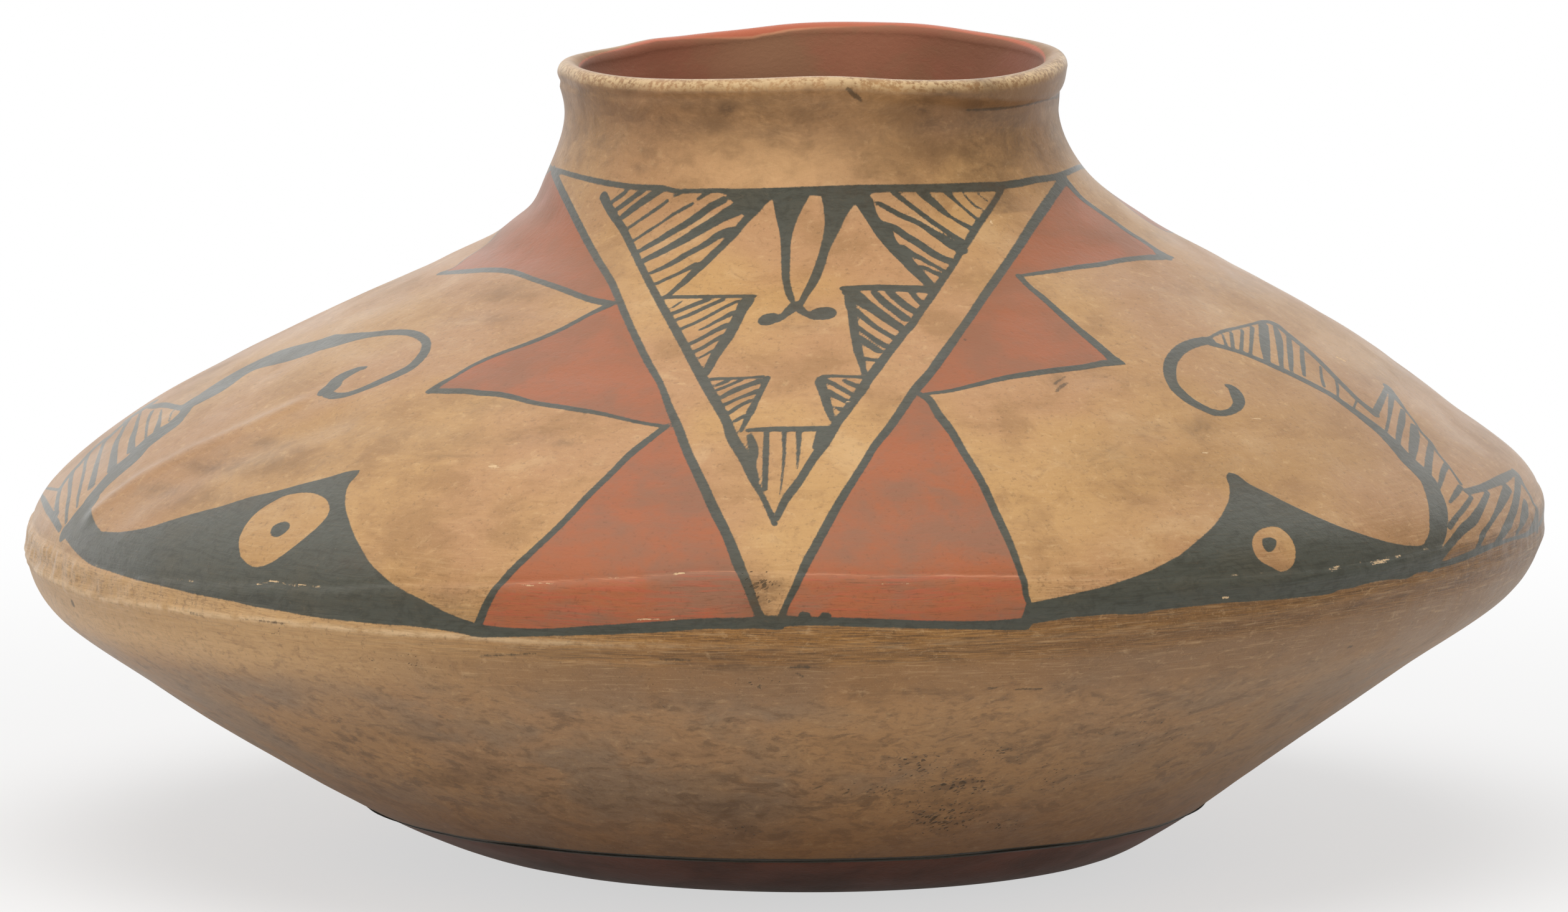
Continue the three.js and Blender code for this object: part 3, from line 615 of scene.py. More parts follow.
def smooth_curve(knots, steps):
    """A centripetal Catmull-Rom curve through the knots, as steps + 1 points."""
    knots = np.asarray(knots, float)
    reach = np.vstack([2 * knots[0] - knots[1], knots, 2 * knots[-1] - knots[-2]])
    gaps = np.sum(np.diff(reach, axis=0) ** 2, axis=1) ** 0.25
    along = np.linspace(0, len(knots) - 1, steps + 1)
    i = np.minimum(along.astype(int), len(knots) - 2)
    t = (along - i)[:, None]
    p0, p1, p2, p3 = (reach[i + k] for k in range(4))
    g0, g1, g2 = (gaps[i + k][:, None] for k in range(3))
    leave = ((p1 - p0) / g0 - (p2 - p0) / (g0 + g1) + (p2 - p1) / g1) * g1
    arrive = ((p2 - p1) / g1 - (p3 - p1) / (g1 + g2) + (p3 - p2) / g2) * g1
    square = -3 * p1 + 3 * p2 - 2 * leave - arrive
    cube = 2 * p1 - 2 * p2 + leave + arrive
    return p1 + leave * t + square * t**2 + cube * t**3


def bump(value, width):
    return np.exp(-((value / width) ** 2))


def round_jar(table, angle):
    """A value that changes round the jar, from a list of degrees and values."""
    degrees, values = zip(*sorted(table))
    return np.interp(np.degrees(angle), degrees, values, period=360)


class Wall:
    """A wall's surface: radius, lean and arc length at any height, from hoops of radius, height and lean."""

    def __init__(self, hoops):
        points = smooth_curve([h[:3] for h in hoops], CURVE_STEPS)
        self.radii, self.heights, self.leans = points.T
        self.arcs = np.concatenate([[0], np.cumsum(np.hypot(np.diff(self.radii), np.diff(self.heights)))])

    def radius(self, height):
        return np.interp(height, self.heights, self.radii)

    def lean(self, height):
        return np.interp(height, self.heights, self.leans)

    def arc(self, height):
        return np.interp(height, self.heights, self.arcs)

    def height(self, arc):
        return np.interp(arc, self.arcs, self.heights)


def between(low, high, share, swell, lean, wall):
    """The hoop a share of the way from one to another, pushed out square to the line between them."""
    run = np.array([high[0] - low[0], high[1] - low[1]])
    out = np.array([run[1], -run[0]]) / np.hypot(*run)
    radius, height = np.array(low[:2]) + run * share + out * swell
    return (radius, height, lean, wall)


def outer_hoops():
    base = (BASE_RADIUS, 0, BASE_LEAN, FLOOR_THICKNESS)
    foot = (FOOT_RADIUS, FOOT_HEIGHT, FOOT_LEAN, LOWER_WALL)
    under = (KEEL_RADIUS - KEEL_SETBACK_UNDER, KEEL_HEIGHT - KEEL_NOSE_HALF_HEIGHT, KEEL_LEAN, KEEL_WALL)
    keel = (KEEL_RADIUS, KEEL_HEIGHT, KEEL_LEAN, KEEL_WALL)
    over = (KEEL_RADIUS - KEEL_SETBACK_OVER, KEEL_HEIGHT + KEEL_NOSE_HALF_HEIGHT, KEEL_LEAN, KEEL_WALL)
    root = (ROOT_RADIUS, ROOT_HEIGHT, ROOT_LEAN, SHOULDER_WALL)
    shoulder = [
        between(over, root, share, swell, lean, SHOULDER_WALL)
        for share, swell, lean in zip(SHOULDER_SHARES, SHOULDER_SWELLS, SHOULDER_LEANS)
    ]
    lower_wall = [
        between(foot, under, share, LOWER_WALL_SWELL, LOWER_WALL_LEAN, LOWER_WALL)
        for share in LOWER_WALL_SHARES
    ]
    return [
        base,
        between(base, foot, 0.5, FOOT_ROLL_SWELL, (BASE_LEAN + FOOT_LEAN) / 2, FLOOR_THICKNESS),
        foot,
        *lower_wall,
        under,
        keel,
        over,
        *shoulder,
        root,
        (WAIST_RADIUS + COVE_FLARE, COVE_HEIGHT, COVE_LEAN, NECK_WALL),
        (WAIST_RADIUS, WAIST_HEIGHT, NECK_LEAN, NECK_WALL),
        (LIP_RADIUS, LIP_HEIGHT, NECK_LEAN, LIP_WALL),
    ]


def inner_hoops(outer):
    """The outer hoops moved in square to the wall, without the two that round the keel's nose."""
    turned = [h for i, h in enumerate(outer) if i not in KEEL_NOSE_HOOPS]
    made = [(BASE_RADIUS, FLOOR_THICKNESS, BASE_LEAN)]
    for below, here, above in zip(turned, turned[1:], turned[2:]):
        along = np.array([above[0] - below[0], above[1] - below[1]])
        along /= np.hypot(*along)
        made.append((here[0] - along[1] * here[3], here[1] + along[0] * here[3], here[2]))
    return [*made, (LIP_RADIUS - LIP_WALL, LIP_HEIGHT, NECK_LEAN)]


outer = Wall(outer_hoops())
inner = Wall(inner_hoops(outer_hoops()))
CREST_ARC = outer.arc(LIP_HEIGHT) + math.pi / 2 * LIP_ROUND
KEEL_ARC = outer.arc(KEEL_HEIGHT)
NECK_ARC = outer.arc(COVE_HEIGHT)
FOOT_ARC = outer.arc(BASE_EDGE_HEIGHT)


def dip(height):
    far = np.where(height < KEEL_HEIGHT, 0, ROOT_HEIGHT)
    return KEEL_DIP * smoothstep((height - far) / (KEEL_HEIGHT - far), 0, 1)


def short_way(turn):
    """A turn round the jar, the short way."""
    return (turn + math.pi) % TAU - math.pi


def degrees_from(angle, middle):
    """Degrees round the jar from a middle, the short way."""
    return (np.degrees(angle) - middle + 180) % 360 - 180


def marked(stand, rows):
    """The stand with soft marks added, each given as the distance from it, its height and its width."""
    for off, tall, wide in rows:
        stand = stand + tall * bump(off, wide)
    return stand


def lip_wave(angle):
    wave = sum(tall * np.cos(crests * (angle - math.radians(at))) for crests, tall, at in LIP_WAVES)
    return marked(wave, [(degrees_from(angle, at), tall, wide) for at, tall, wide in LIP_PRESSES])


def place(radius, angle, height):
    """A point of the turned shape by nominal radius and height, leaned, tilted and waved as the clay is."""
    tilt = outer.radius(height - dip(height) * np.cos(angle)) - outer.radius(height)
    tilt = np.where((radius < BASE_RADIUS) & (height < BASE_EDGE_HEIGHT), 0, tilt)
    x = (radius + tilt) * np.cos(angle) + outer.lean(height)
    y = (radius + tilt) * np.sin(angle)
    z = height + lip_wave(angle) * smoothstep(height, LIP_SEAM, LIP_HEIGHT)
    return np.stack(np.broadcast_arrays(x, y, z), -1)


class Lumps:
    """Smooth unevenness between -1 and 1, that closes on itself round the jar."""

    def __init__(self, seed, around, spacing):
        self.around = around
        self.spacing = spacing
        self.values = np.random.default_rng(seed).uniform(-1, 1, (LUMP_ROWS, around))

    def __call__(self, angle, arc):
        u = angle / TAU * self.around
        v = arc / self.spacing
        i = np.floor(u).astype(int)
        j = np.floor(v).astype(int)
        fu = smoothstep(u - i, 0, 1)
        fv = smoothstep(v - j, 0, 1)
        a, b = i % self.around, (i + 1) % self.around

        def across(row):
            return self.values[row % LUMP_ROWS, a] * (1 - fu) + self.values[row % LUMP_ROWS, b] * fu

        return across(j) * (1 - fv) + across(j + 1) * fv


hand_swell = Lumps(seed=11, around=9, spacing=46)
hand_press = Lumps(seed=12, around=26, spacing=17)
scrape = Lumps(seed=13, around=60, spacing=5.5)
rough = Lumps(seed=14, around=420, spacing=2.1)
wobble = Lumps(seed=15, around=14, spacing=400)
coil_depth = Lumps(seed=16, around=12, spacing=60)
clay_fold = Lumps(seed=17, around=230, spacing=3.2)
clay_crumb = Lumps(seed=18, around=560, spacing=1.5)


def ridge_distance(angle, arc):
    return arc - KEEL_ARC - round_jar(RIDGE, angle) - RIDGE_WANDER * scrape(angle, 7.0)


def fold_distance(angle, arc):
    return arc - KEEL_ARC - round_jar(FOLD, angle) - FOLD_WANDER * scrape(angle, 90.0)


def coil_ghosts(angle, arc):
    """A faint hollow is left over each weld between coils."""
    rise = (ROOT_HEIGHT - KEEL_SEAM_HIGH) / SHOULDER_COILS
    stand = 0
    for k in range(1, SHOULDER_COILS):
        off = arc - outer.arc(KEEL_SEAM_HIGH + k * rise) - GHOST_WANDER * wobble(angle, arc)
        stand = stand - GHOST_DEPTH * (1 + coil_depth(angle, arc)) * bump(off, GHOST_WIDTH)
    return stand


def keel_work(angle, arc):
    """The keel was pinched to a ridge and folded over above it, and left rough between the two."""
    ridge = ridge_distance(angle, arc)
    fold = fold_distance(angle, arc)
    band = smoothstep(ridge, -3, 0.5) * (1 - smoothstep(fold, -1.5, 0.8))
    left_end = bump(degrees_from(angle, LEFT_END), END_SPREAD)
    left = np.maximum(-np.cos(angle), 0)
    stand = (0.06 + 0.24 * left_end) * band * clay_fold(angle, arc)
    stand = stand + (0.03 + 0.1 * left_end) * band * clay_crumb(angle, arc)
    stand = marked(stand, (
        (ridge, 0.2 + 0.16 * left, 1.2),
        (ridge - 3.2, -0.24, 2.2),
        (ridge + 3.4, -0.1, 2.6),
        (fold + 2, 0.2, 1.7),
        (fold, -0.2, 0.7),
    ))
    return stand - 0.1 * smoothstep(fold, -0.5, 1) * bump(np.maximum(fold, 0), 14)


def lip_bead(angle, height):
    """The rolled lip's lower edge, soft in front and folded under on the right."""
    edge = height - round_jar(BEAD_EDGE, angle) - BEAD_WANDER * scrape(angle, 20.0)
    right = bump(degrees_from(angle, FOLDED_UNDER), END_SPREAD)
    soft = 1.6 - 1.2 * right
    stand = round_jar(BEAD_STAND, angle) * smoothstep(edge, -1.2, 0.4)
    stand = stand + 0.34 * bump(edge - 1.6, 1.5) * (0.5 + 0.5 * right)
    stand = stand - (0.1 + 0.34 * right) * bump(edge, 0.35 + soft)
    return stand + 0.12 * hand_press(angle, 5 * height) * smoothstep(edge, -1, 1)


def relief(angle, arc):
    """How far the outer surface stands out from the turned shape."""
    height = outer.height(arc)
    keel = bump(arc - KEEL_ARC, KEEL_SPREAD)
    lower = 1 - smoothstep(arc, KEEL_ARC - 12, KEEL_ARC - 2)
    stand = SWELL_STAND * hand_swell(angle, arc) + PRESS_STAND * hand_press(angle, arc)
    stand = stand + (SCRAPE_STAND + SCRAPE_STAND * keel + SCRAPE_STAND * lower) * scrape(angle, arc)
    stand = stand + (ROUGH_STAND + ROUGH_AT_KEEL * keel) * rough(angle, arc)
    stand = stand + coil_ghosts(angle, arc) + keel_work(angle, arc) + lip_bead(angle, height)
    across = short_way(angle - HUMP_ANGLE) * outer.radius(height)
    stand = stand + HUMP_STAND * bump(arc - HUMP_ARC, HUMP_RISE) * bump(across, HUMP_REACH)
    stand = marked(stand, [(off_line(line, angle, arc), tall, wide) for line, tall, wide in DRAGS])
    # The widest hoop, the ground and the crest stay inside the solids.
    stand = stand - KEEL_SINK * keel
    crest = smoothstep(arc, CREST_ARC - CREST_FADE, CREST_ARC)
    stand = stand * (1 - crest) - CREST_SINK * crest
    return stand * smoothstep(height, *GROUND_FADE)


def inner_relief(angle, depth):
    """Finger and gourd marks left inside, by distance from the crest."""
    ridge = 0.25 * np.sin(depth / 2.7 + 1.5 * hand_swell(angle, depth))
    stand = 0.35 * hand_press(angle, depth + 300) + 0.12 * scrape(angle, depth)
    stand = stand + ridge * smoothstep(depth, 20, 50)
    return stand * smoothstep(depth, 1, 12) - CREST_SINK * (1 - smoothstep(depth, 0, 12))


def project(points):
    """Pixels of the photograph at which points show."""
    away = points - CAMERA_EYE
    depth = -(away @ CAMERA_BACK)
    x = PHOTO_WIDTH / 2 + FOCAL_PIXELS * (away @ CAMERA_RIGHT) / depth
    y = PHOTO_HEIGHT / 2 - FOCAL_PIXELS * (away @ CAMERA_UP) / depth
    return np.stack([x, y], -1)


def wall_pixels(angle, arc):
    height = outer.height(arc)
    return project(place(outer.radius(height), angle, height))


def wall_slopes(angle, arc):
    """How pixels move with a millimetre round the jar and a millimetre up its wall, as 2 by 2 arrays."""
    nudge = 0.05
    turn = nudge / outer.radius(outer.height(arc))
    aside = (wall_pixels(angle + turn, arc) - wall_pixels(angle - turn, arc)) / (2 * nudge)
    upward = (wall_pixels(angle, arc + nudge) - wall_pixels(angle, arc - nudge)) / (2 * nudge)
    return np.stack([aside, upward], -1)


def seen_wall():
    """A search tree over the part of the outer wall that the photograph shows, with each point's place."""
    around, up = SEARCH_GRID
    angle, arc = np.meshgrid(np.linspace(-math.pi, math.pi, around), np.linspace(1, CREST_ARC - 4, up))
    slopes = wall_slopes(angle, arc)
    # The wall shows where its own left-to-right and upward directions aren't mirrored in the picture.
    shown = np.linalg.det(slopes) < MIRRORED
    angle, arc = angle[shown], arc[shown]
    pixels = wall_pixels(angle, arc)
    tree = KDTree(len(angle))
    for i, (x, y) in enumerate(pixels):
        tree.insert((x, y, 0), i)
    tree.balance()
    return tree, angle, arc


seen_tree, seen_angle, seen_arc = seen_wall()


def on_wall(pixels):
    """The angle and arc at which the outer wall shows at each pixel."""
    pixels = np.asarray(pixels, float)
    nearest = [seen_tree.find((x, y, 0))[1] for x, y in pixels]
    angle, arc = seen_angle[nearest].copy(), seen_arc[nearest].copy()
    angle = np.where(angle > math.pi / 2, angle - TAU, angle)
    for _ in range(SEARCH_TRIES):
        miss = pixels - wall_pixels(angle, arc)
        slopes = wall_slopes(angle, arc)
        steady = np.abs(np.linalg.det(slopes)) > STEADY
        slopes[~steady] = np.eye(2)
        step = np.linalg.solve(slopes, miss[..., None])[..., 0]
        step = np.clip(step, -LONGEST_STEP, LONGEST_STEP) * steady[:, None]
        angle += step[:, 0] / outer.radius(outer.height(arc))
        arc += step[:, 1]
    return angle, arc


HUMP_ANGLE, HUMP_ARC = (float(v[0]) for v in on_wall([NECK_HUMP]))
DRAGS = [
    (np.stack(on_wall(line), -1), tall, wide)
    for line, (tall, wide) in ((DRAG_RIDGE, DRAG_RIDGE_MARK), (DRAG_HOLLOW, DRAG_HOLLOW_MARK))
]


def off_segment(x, y, along_x, along_y):
    """How far along a segment from the origin its nearest place is, as a share, and how far off that is."""
    share = np.clip((x * along_x + y * along_y) / (along_x**2 + along_y**2 + TINY), 0, 1)
    return share, np.hypot(x - share * along_x, y - share * along_y)


def off_line(line, angle, arc):
    """Millimetres from a line on the wall."""
    across = outer.radius(outer.height(arc))
    nearest = FAR
    for a, b in zip(line, line[1:]):
        x, y = short_way(angle - a[0]) * across, arc - a[1]
        nearest = np.minimum(nearest, off_segment(x, y, (b[0] - a[0]) * across, b[1] - a[1])[1])
    return nearest


def stroke_on_wall(stroke):
    """A brush stroke as points on the wall: angle, arc and half width in millimetres."""
    knots = np.array(stroke, float)
    length = np.sum(np.hypot(*np.diff(knots[:, :2], axis=0).T))
    points = smooth_curve(knots, max(2, int(length / STROKE_STEP)))
    angle, arc = on_wall(points[:, :2])
    tangent = np.gradient(points[:, :2], axis=0)
    tangent /= np.maximum(np.linalg.norm(tangent, axis=1, keepdims=True), TINY)
    slopes = wall_slopes(angle, arc)
    area = np.abs(np.linalg.det(slopes))
    steady = area > STEADY
    slopes[~steady] = FLAT_SCALE * np.eye(2)
    stretched = np.linalg.norm(np.linalg.solve(slopes, tangent[..., None])[..., 0], axis=1)
    half = points[:, 2] / 2 / (np.where(steady, area, FLAT_SCALE**2) * stretched)
    return np.stack([angle, arc, np.clip(half, *HALF_WIDTHS)], -1)


def outline_on_wall(stretches):
    """A closed outline as points on the wall, with no width."""
    parts = []
    for stretch in stretches:
        knots = np.array(stretch, float)[:, :2]
        length = np.sum(np.hypot(*np.diff(knots, axis=0).T))
        points = smooth_curve(knots, max(2, int(length / OUTLINE_STEP))) if len(knots) > 2 else knots
        parts.append(np.stack(on_wall(points), -1))
    points = np.vstack(parts)
    return np.column_stack([points, np.zeros(len(points))])


def hidden_left_edge():
    """The left field's upper edge goes behind the neck's root, which the photograph doesn't show."""
    points = smooth_curve(LEFT_HIDDEN_EDGE, HIDDEN_STEPS)
    return points * (math.pi / 180, 1, 0.5)


def turned_round(points):
    """The same paint on the far side, drawn again by hand: a little narrower, and never quite the same."""
    angle = points[:, 0]
    moved = points.copy()
    moved[:, 0] = CAMERA_SIDE + math.pi + (angle - CAMERA_SIDE) * FAR_SIDE_SHARE
    moved[:, 0] += sum(sway * np.sin(waves * angle + start) for sway, waves, start in FAR_SIDE_SWAYS)
    lift, waves, start = FAR_SIDE_LIFT
    above = smoothstep(points[:, 1], KEEL_ARC + 4, KEEL_ARC + 20)
    moved[:, 1] += lift * np.sin(waves * angle + start) * above
    return moved


def joined(start, end):
    """A straight stroke from one point of the wall to another, the short way round."""
    end = end.copy()
    end[0] = start[0] + short_way(end[0] - start[0])
    share = np.linspace(0, 1, JOIN_POINTS)[:, None]
    return start + (end - start) * share


def painting():
    """Every mark on the wall, near side and far: strokes, outlines, eyes, fields and wear."""
    right_edge = stroke_on_wall(RIGHT_UPPER_EDGE)
    left_edge = hidden_left_edge()
    lines = [
        NECK_LINE, KEEL_LINE, LEFT_CREST_STROKES[-1], FAN_STROKES[2],
        OUTER_LEFT_LINE, OUTER_RIGHT_LINE, INNER_LEFT_LINE, INNER_RIGHT_LINE,
        *KEEL_BLOBS, *PANEL_STROKES,
        *LEFT_FIELD, *RIGHT_FIELD,
        LEFT_CREST, *LEFT_CREST_STROKES[:-1], RIGHT_CURL, RIGHT_CREST, *RIGHT_CREST_STROKES,
        *FAN_STROKES[:2], *FAN_STROKES[3:],
    ]
    fields = (
        (left_edge, [*LEFT_FIELD, KEEL_LINE[1:7], OUTER_LEFT_LINE[::-1]]),
        (right_edge, [*RIGHT_FIELD, KEEL_LINE[:7:-1], OUTER_RIGHT_LINE[::-1]]),
    )
    near = {
        "strokes": [stroke_on_wall(line) for line in lines] + [left_edge, right_edge],
        "solids": [outline_on_wall(shape) for shape in (LEFT_HEAD, RIGHT_HEAD, *PANEL_SOLIDS)],
        "eyes": [outline_on_wall(shape) for shape in (LEFT_EYE, RIGHT_EYE)],
        "pupils": [outline_on_wall(shape) for shape in (LEFT_PUPIL, RIGHT_PUPIL)],
        "fields": [np.vstack([edge * (1, 1, 0), outline_on_wall(rest)]) for edge, rest in fields],
        "flakes": [stroke_on_wall(line) for line in FLAKES],
        "scuffs": [stroke_on_wall(line) for line in SCUFFS],
    }
    far = {kind: [turned_round(shape) for shape in shapes] for kind, shapes in near.items()}
    both = {kind: near[kind] + far[kind] for kind in near}
    # The neck line and the keel line close at the sides, which the photograph doesn't show.
    neck, _, band, fan = near["strokes"][:4]
    far_neck, _, far_band, far_fan = far["strokes"][:4]
    both["strokes"] += [joined(neck[-1], far_neck[0]), joined(far_neck[-1], neck[0]),
                        joined(fan[0], far_band[0]), joined(far_fan[0], band[0])]
    return both


class Sheet:
    """A grid of the outer wall on which distances to paint are worked out."""

    def __init__(self, angles, arcs):
        self.angles = angles
        self.arcs = arcs
        self.radii = outer.radius(outer.height(arcs))
        self.step = TAU / len(angles)
        self.shape = (len(arcs), len(angles))

    def window(self, points, reach):
        """The rows and the columns, counted on past the last, within reach of some points."""
        rows = np.searchsorted(self.arcs, [points[:, 1].min() - reach, points[:, 1].max() + reach])
        if rows[0] >= rows[1]:
            return None
        wide = reach / self.radii[rows[0]:rows[1]].min()
        first = math.floor((points[:, 0].min() - wide - self.angles[0]) / self.step)
        last = math.ceil((points[:, 0].max() + wide - self.angles[0]) / self.step)
        return slice(rows[0], rows[1]), np.arange(first, last + 1)

    def stroke(self, field, points):
        """Lowers the field to the distance from a stroke's edge, blunted so that thin strokes hold."""
        for a, b in zip(points, points[1:]):
            found = self.window(np.stack([a, b]), max(a[2], b[2]) + REACH)
            if not found:
                continue
            rows, columns = found
            across = self.radii[rows][:, None]
            x = (self.angles[0] + columns * self.step - a[0]) * across
            y = (self.arcs[rows] - a[1])[:, None]
            along_x = (b[0] - a[0]) * across
            along_y = b[1] - a[1]
            share, off = off_segment(x, y, along_x, along_y)
            if a[2] or b[2]:
                half = a[2] + share * (b[2] - a[2])
                blunt = np.maximum(half, THINNEST)
                off = (off**2 - half**2) / (2 * blunt) - BETWEEN_POINTS / blunt
            block = np.ix_(np.arange(rows.start, rows.stop), columns % len(self.angles))
            field[block] = np.minimum(field[block], off)

    def strokes(self, lines):
        field = np.full(self.shape, FAR)
        for line in lines:
            self.stroke(field, line)
        return field

    def outline(self, points):
        """Signed distance from a closed outline, negative inside."""
        closed = np.vstack([points, points[:1]])
        field = self.strokes([closed])
        found = self.window(points, 0)
        if not found:
            return field
        a, b = closed[:-1], closed[1:]
        for row in range(found[0].start, found[0].stop):
            level = self.arcs[row]
            cut = (a[:, 1] <= level) != (b[:, 1] <= level)
            share = (level - a[cut, 1]) / (b[cut, 1] - a[cut, 1])
            crossings = np.sort(a[cut, 0] + share * (b[cut, 0] - a[cut, 0]))
            for enter, leave in zip(crossings[::2], crossings[1::2]):
                first = math.ceil((enter - self.angles[0]) / self.step)
                last = math.floor((leave - self.angles[0]) / self.step)
                inside = np.arange(first, last + 1) % len(self.angles)
                field[row, inside] = -field[row, inside]
        return field

    def outlines(self, shapes):
        return np.minimum.reduce([self.outline(shape) for shape in shapes])

    def blobs(self, spots):
        """The strength of soft spots that were placed on the photograph, which the far side has as well."""
        field = np.zeros(self.shape)
        for x, y, wide, tall, strength in spots:
            angle, arc = on_wall([(x, y)])
            slopes = wall_slopes(angle, arc)[0]
            reach = BLOB_REACH * max(wide, tall) / BLOB_SCALE
            rows = slice(*np.searchsorted(self.arcs, [arc[0] - reach, arc[0] + reach]))
            if rows.start >= rows.stop:
                continue
            turn = (self.angles - angle + math.pi / 2) % math.pi - math.pi / 2
            aside = turn[None, :] * self.radii[rows][:, None]
            upward = (self.arcs[rows] - arc[0])[:, None]
            across = (slopes[0, 0] * aside + slopes[0, 1] * upward) / wide
            down = (slopes[1, 0] * aside + slopes[1, 1] * upward) / tall
            field[rows] = np.maximum(field[rows], strength * np.exp(-(across**2) - down**2))
        return field


marks = painting()


def paint_fields(angles, arcs):
    """Distances in millimetres to paint and marks, negative inside, and the strength of stains, painted
    shade and pits.
    """
    sheet = Sheet(angles, arcs)
    heads = np.maximum(sheet.outlines(marks["solids"]), -sheet.outlines(marks["eyes"]))
    black = np.minimum(heads, sheet.outlines(marks["pupils"]))
    for stroke in marks["strokes"]:
        sheet.stroke(black, stroke)
    # A last line goes right round above the red foot.
    wander = BASE_LINE_UP + 0.4 * wobble(angles[None, :], 3.0) + 0.2 * scrape(angles[None, :], 12.0)
    foot = np.abs(arcs[:, None] - FOOT_ARC - wander) - BASE_LINE_WIDTH / 2
    return {
        "black": np.minimum(black, foot),
        "red": sheet.outlines(marks["fields"]),
        "flake": sheet.strokes(marks["flakes"]),
        "scuff": sheet.strokes(marks["scuffs"]),
        "stain_and_shade": sheet.blobs(STAINS_AND_SHADE),
        "pits": sheet.blobs(PITS),
    }


def facing(points):
    """Normals of a grid of points whose columns go round the jar."""
    around = np.roll(points, -1, axis=1) - np.roll(points, 1, axis=1)
    out = np.cross(around, np.gradient(points, axis=0))
    return out / np.maximum(np.linalg.norm(out, axis=-1, keepdims=True), 1e-12)


def guarded(values):
    """Values with rows added beyond each end, at the same spacing."""
    before = values[0] + (values[1] - values[0]) * np.arange(-GUARD_ROWS, 0)
    after = values[-1] + (values[-1] - values[-2]) * np.arange(1, GUARD_ROWS + 1)
    return np.concatenate([before, values, after])


class Rows:
    """Rows of points over one surface, with normals. Arcs run on over the crest and down inside."""

    def __init__(self, angles, radii, heights, arcs, shaped=None):
        rim = angles[None, :]
        radii, heights, arcs = (np.asarray(v, float)[:, None] for v in (radii, heights, arcs))
        plain = place(radii, rim, heights)
        depth = arcs - CREST_ARC
        stand = np.where(depth < 0, relief(rim, arcs), inner_relief(rim, np.maximum(depth, 0)))
        if shaped is not None:
            stand = stand * shaped[:, None]
        points = plain + facing(plain) * stand[..., None]
        keep = slice(GUARD_ROWS, len(radii) - GUARD_ROWS) if shaped is None else slice(None)
        self.points = points[keep]
        self.normals = facing(points)[keep]
        self.arcs = arcs[keep, 0]


def outer_rows(angles, low, high, step):
    """The outer wall between two heights."""
    span = outer.arc(high) - outer.arc(low)
    arcs = guarded(np.linspace(outer.arc(low), outer.arc(high), max(2, round(span / step)) + 1))
    heights = outer.height(arcs)
    return Rows(angles, outer.radius(heights), heights, arcs)


def inner_rows(angles, low, high):
    """The inner wall from one height down to another."""
    span = inner.arc(high) - inner.arc(low)
    arcs = guarded(np.linspace(inner.arc(high), inner.arc(low), max(2, round(span / INNER_STEP)) + 1))
    heights = inner.height(arcs)
    depth = inner.arc(LIP_HEIGHT) - arcs + math.pi / 2 * LIP_ROUND
    return Rows(angles, inner.radius(heights), heights, CREST_ARC + depth)


def lip_rows(angles, step):
    """Up the outside of the last coil, over its crest and down inside."""
    rise = outer.arc(LIP_HEIGHT) - outer.arc(LIP_SEAM)
    fall = inner.arc(LIP_HEIGHT) - inner.arc(LIP_SEAM)
    up = outer.arc(LIP_SEAM) + np.arange(-GUARD_ROWS * step, rise, step)
    turn = np.linspace(0, math.pi, round(math.pi * LIP_ROUND / (step * CREST_STEP_SHARE)) + 1)
    drop = guarded(np.linspace(0, fall, round(fall / step) + 1))[GUARD_ROWS + 1:]
    down = inner.height(inner.arc(LIP_HEIGHT) - drop)
    over = LIP_RADIUS - LIP_ROUND + LIP_ROUND * np.cos(turn)
    radii = [outer.radius(outer.height(up)), over, inner.radius(down)]
    heights = [outer.height(up), LIP_HEIGHT + LIP_ROUND * np.sin(turn), down]
    top = outer.arc(LIP_HEIGHT)
    arcs = [up, top + LIP_ROUND * turn, top + LIP_ROUND * math.pi + drop]
    return Rows(angles, *(np.concatenate(v) for v in (radii, heights, arcs)))


def base_rows(angles, step):
    """From the middle of the underside out, up to the seam, in along it and back to the floor's middle."""
    under = np.linspace(POLE_RADIUS, BASE_RADIUS, UNDER_ROWS)[:-1]
    side = np.linspace(0, FOOT_ARC, round(FOOT_ARC / step) + 1)
    wall = np.linspace(inner.arc(BASE_EDGE_HEIGHT), 0, SEAM_ROWS)
    floor = np.linspace(BASE_RADIUS, POLE_RADIUS, FLOOR_ROWS)[1:]
    radii = [under, outer.radius(outer.height(side)), inner.radius(inner.height(wall)), floor]
    heights = [under * 0, outer.height(side), inner.height(wall), floor * 0 + FLOOR_THICKNESS]
    far = inner.arc(LIP_HEIGHT) + CREST_ARC
    arcs = [under - BASE_RADIUS, side, far - wall, far + BASE_RADIUS - floor]
    shaped = [under * 0, side * 0 + 1, wall * 0, floor * 0]
    return Rows(angles, *(np.concatenate(v) for v in (radii, heights, arcs, shaped)))


def angles_round(radius, step):
    """Angles evenly round the jar, as many as fill the bake map's strips."""
    count = STRIPS * round(TAU * radius / step / STRIPS)
    return np.arange(count) * TAU / count - math.pi


def quads(rows, columns, closed):
    """Corner numbers of the faces between rows, and the row and column of each face."""
    row = np.repeat(np.arange(rows if closed else rows - 1), columns)
    column = np.tile(np.arange(columns), rows if closed else rows - 1)
    above = (row + 1) % rows
    after = (column + 1) % columns
    row_start, above_start = row * columns, above * columns
    corners = [row_start + column, row_start + after, above_start + after, above_start + column]
    return np.stack(corners, -1), row, column


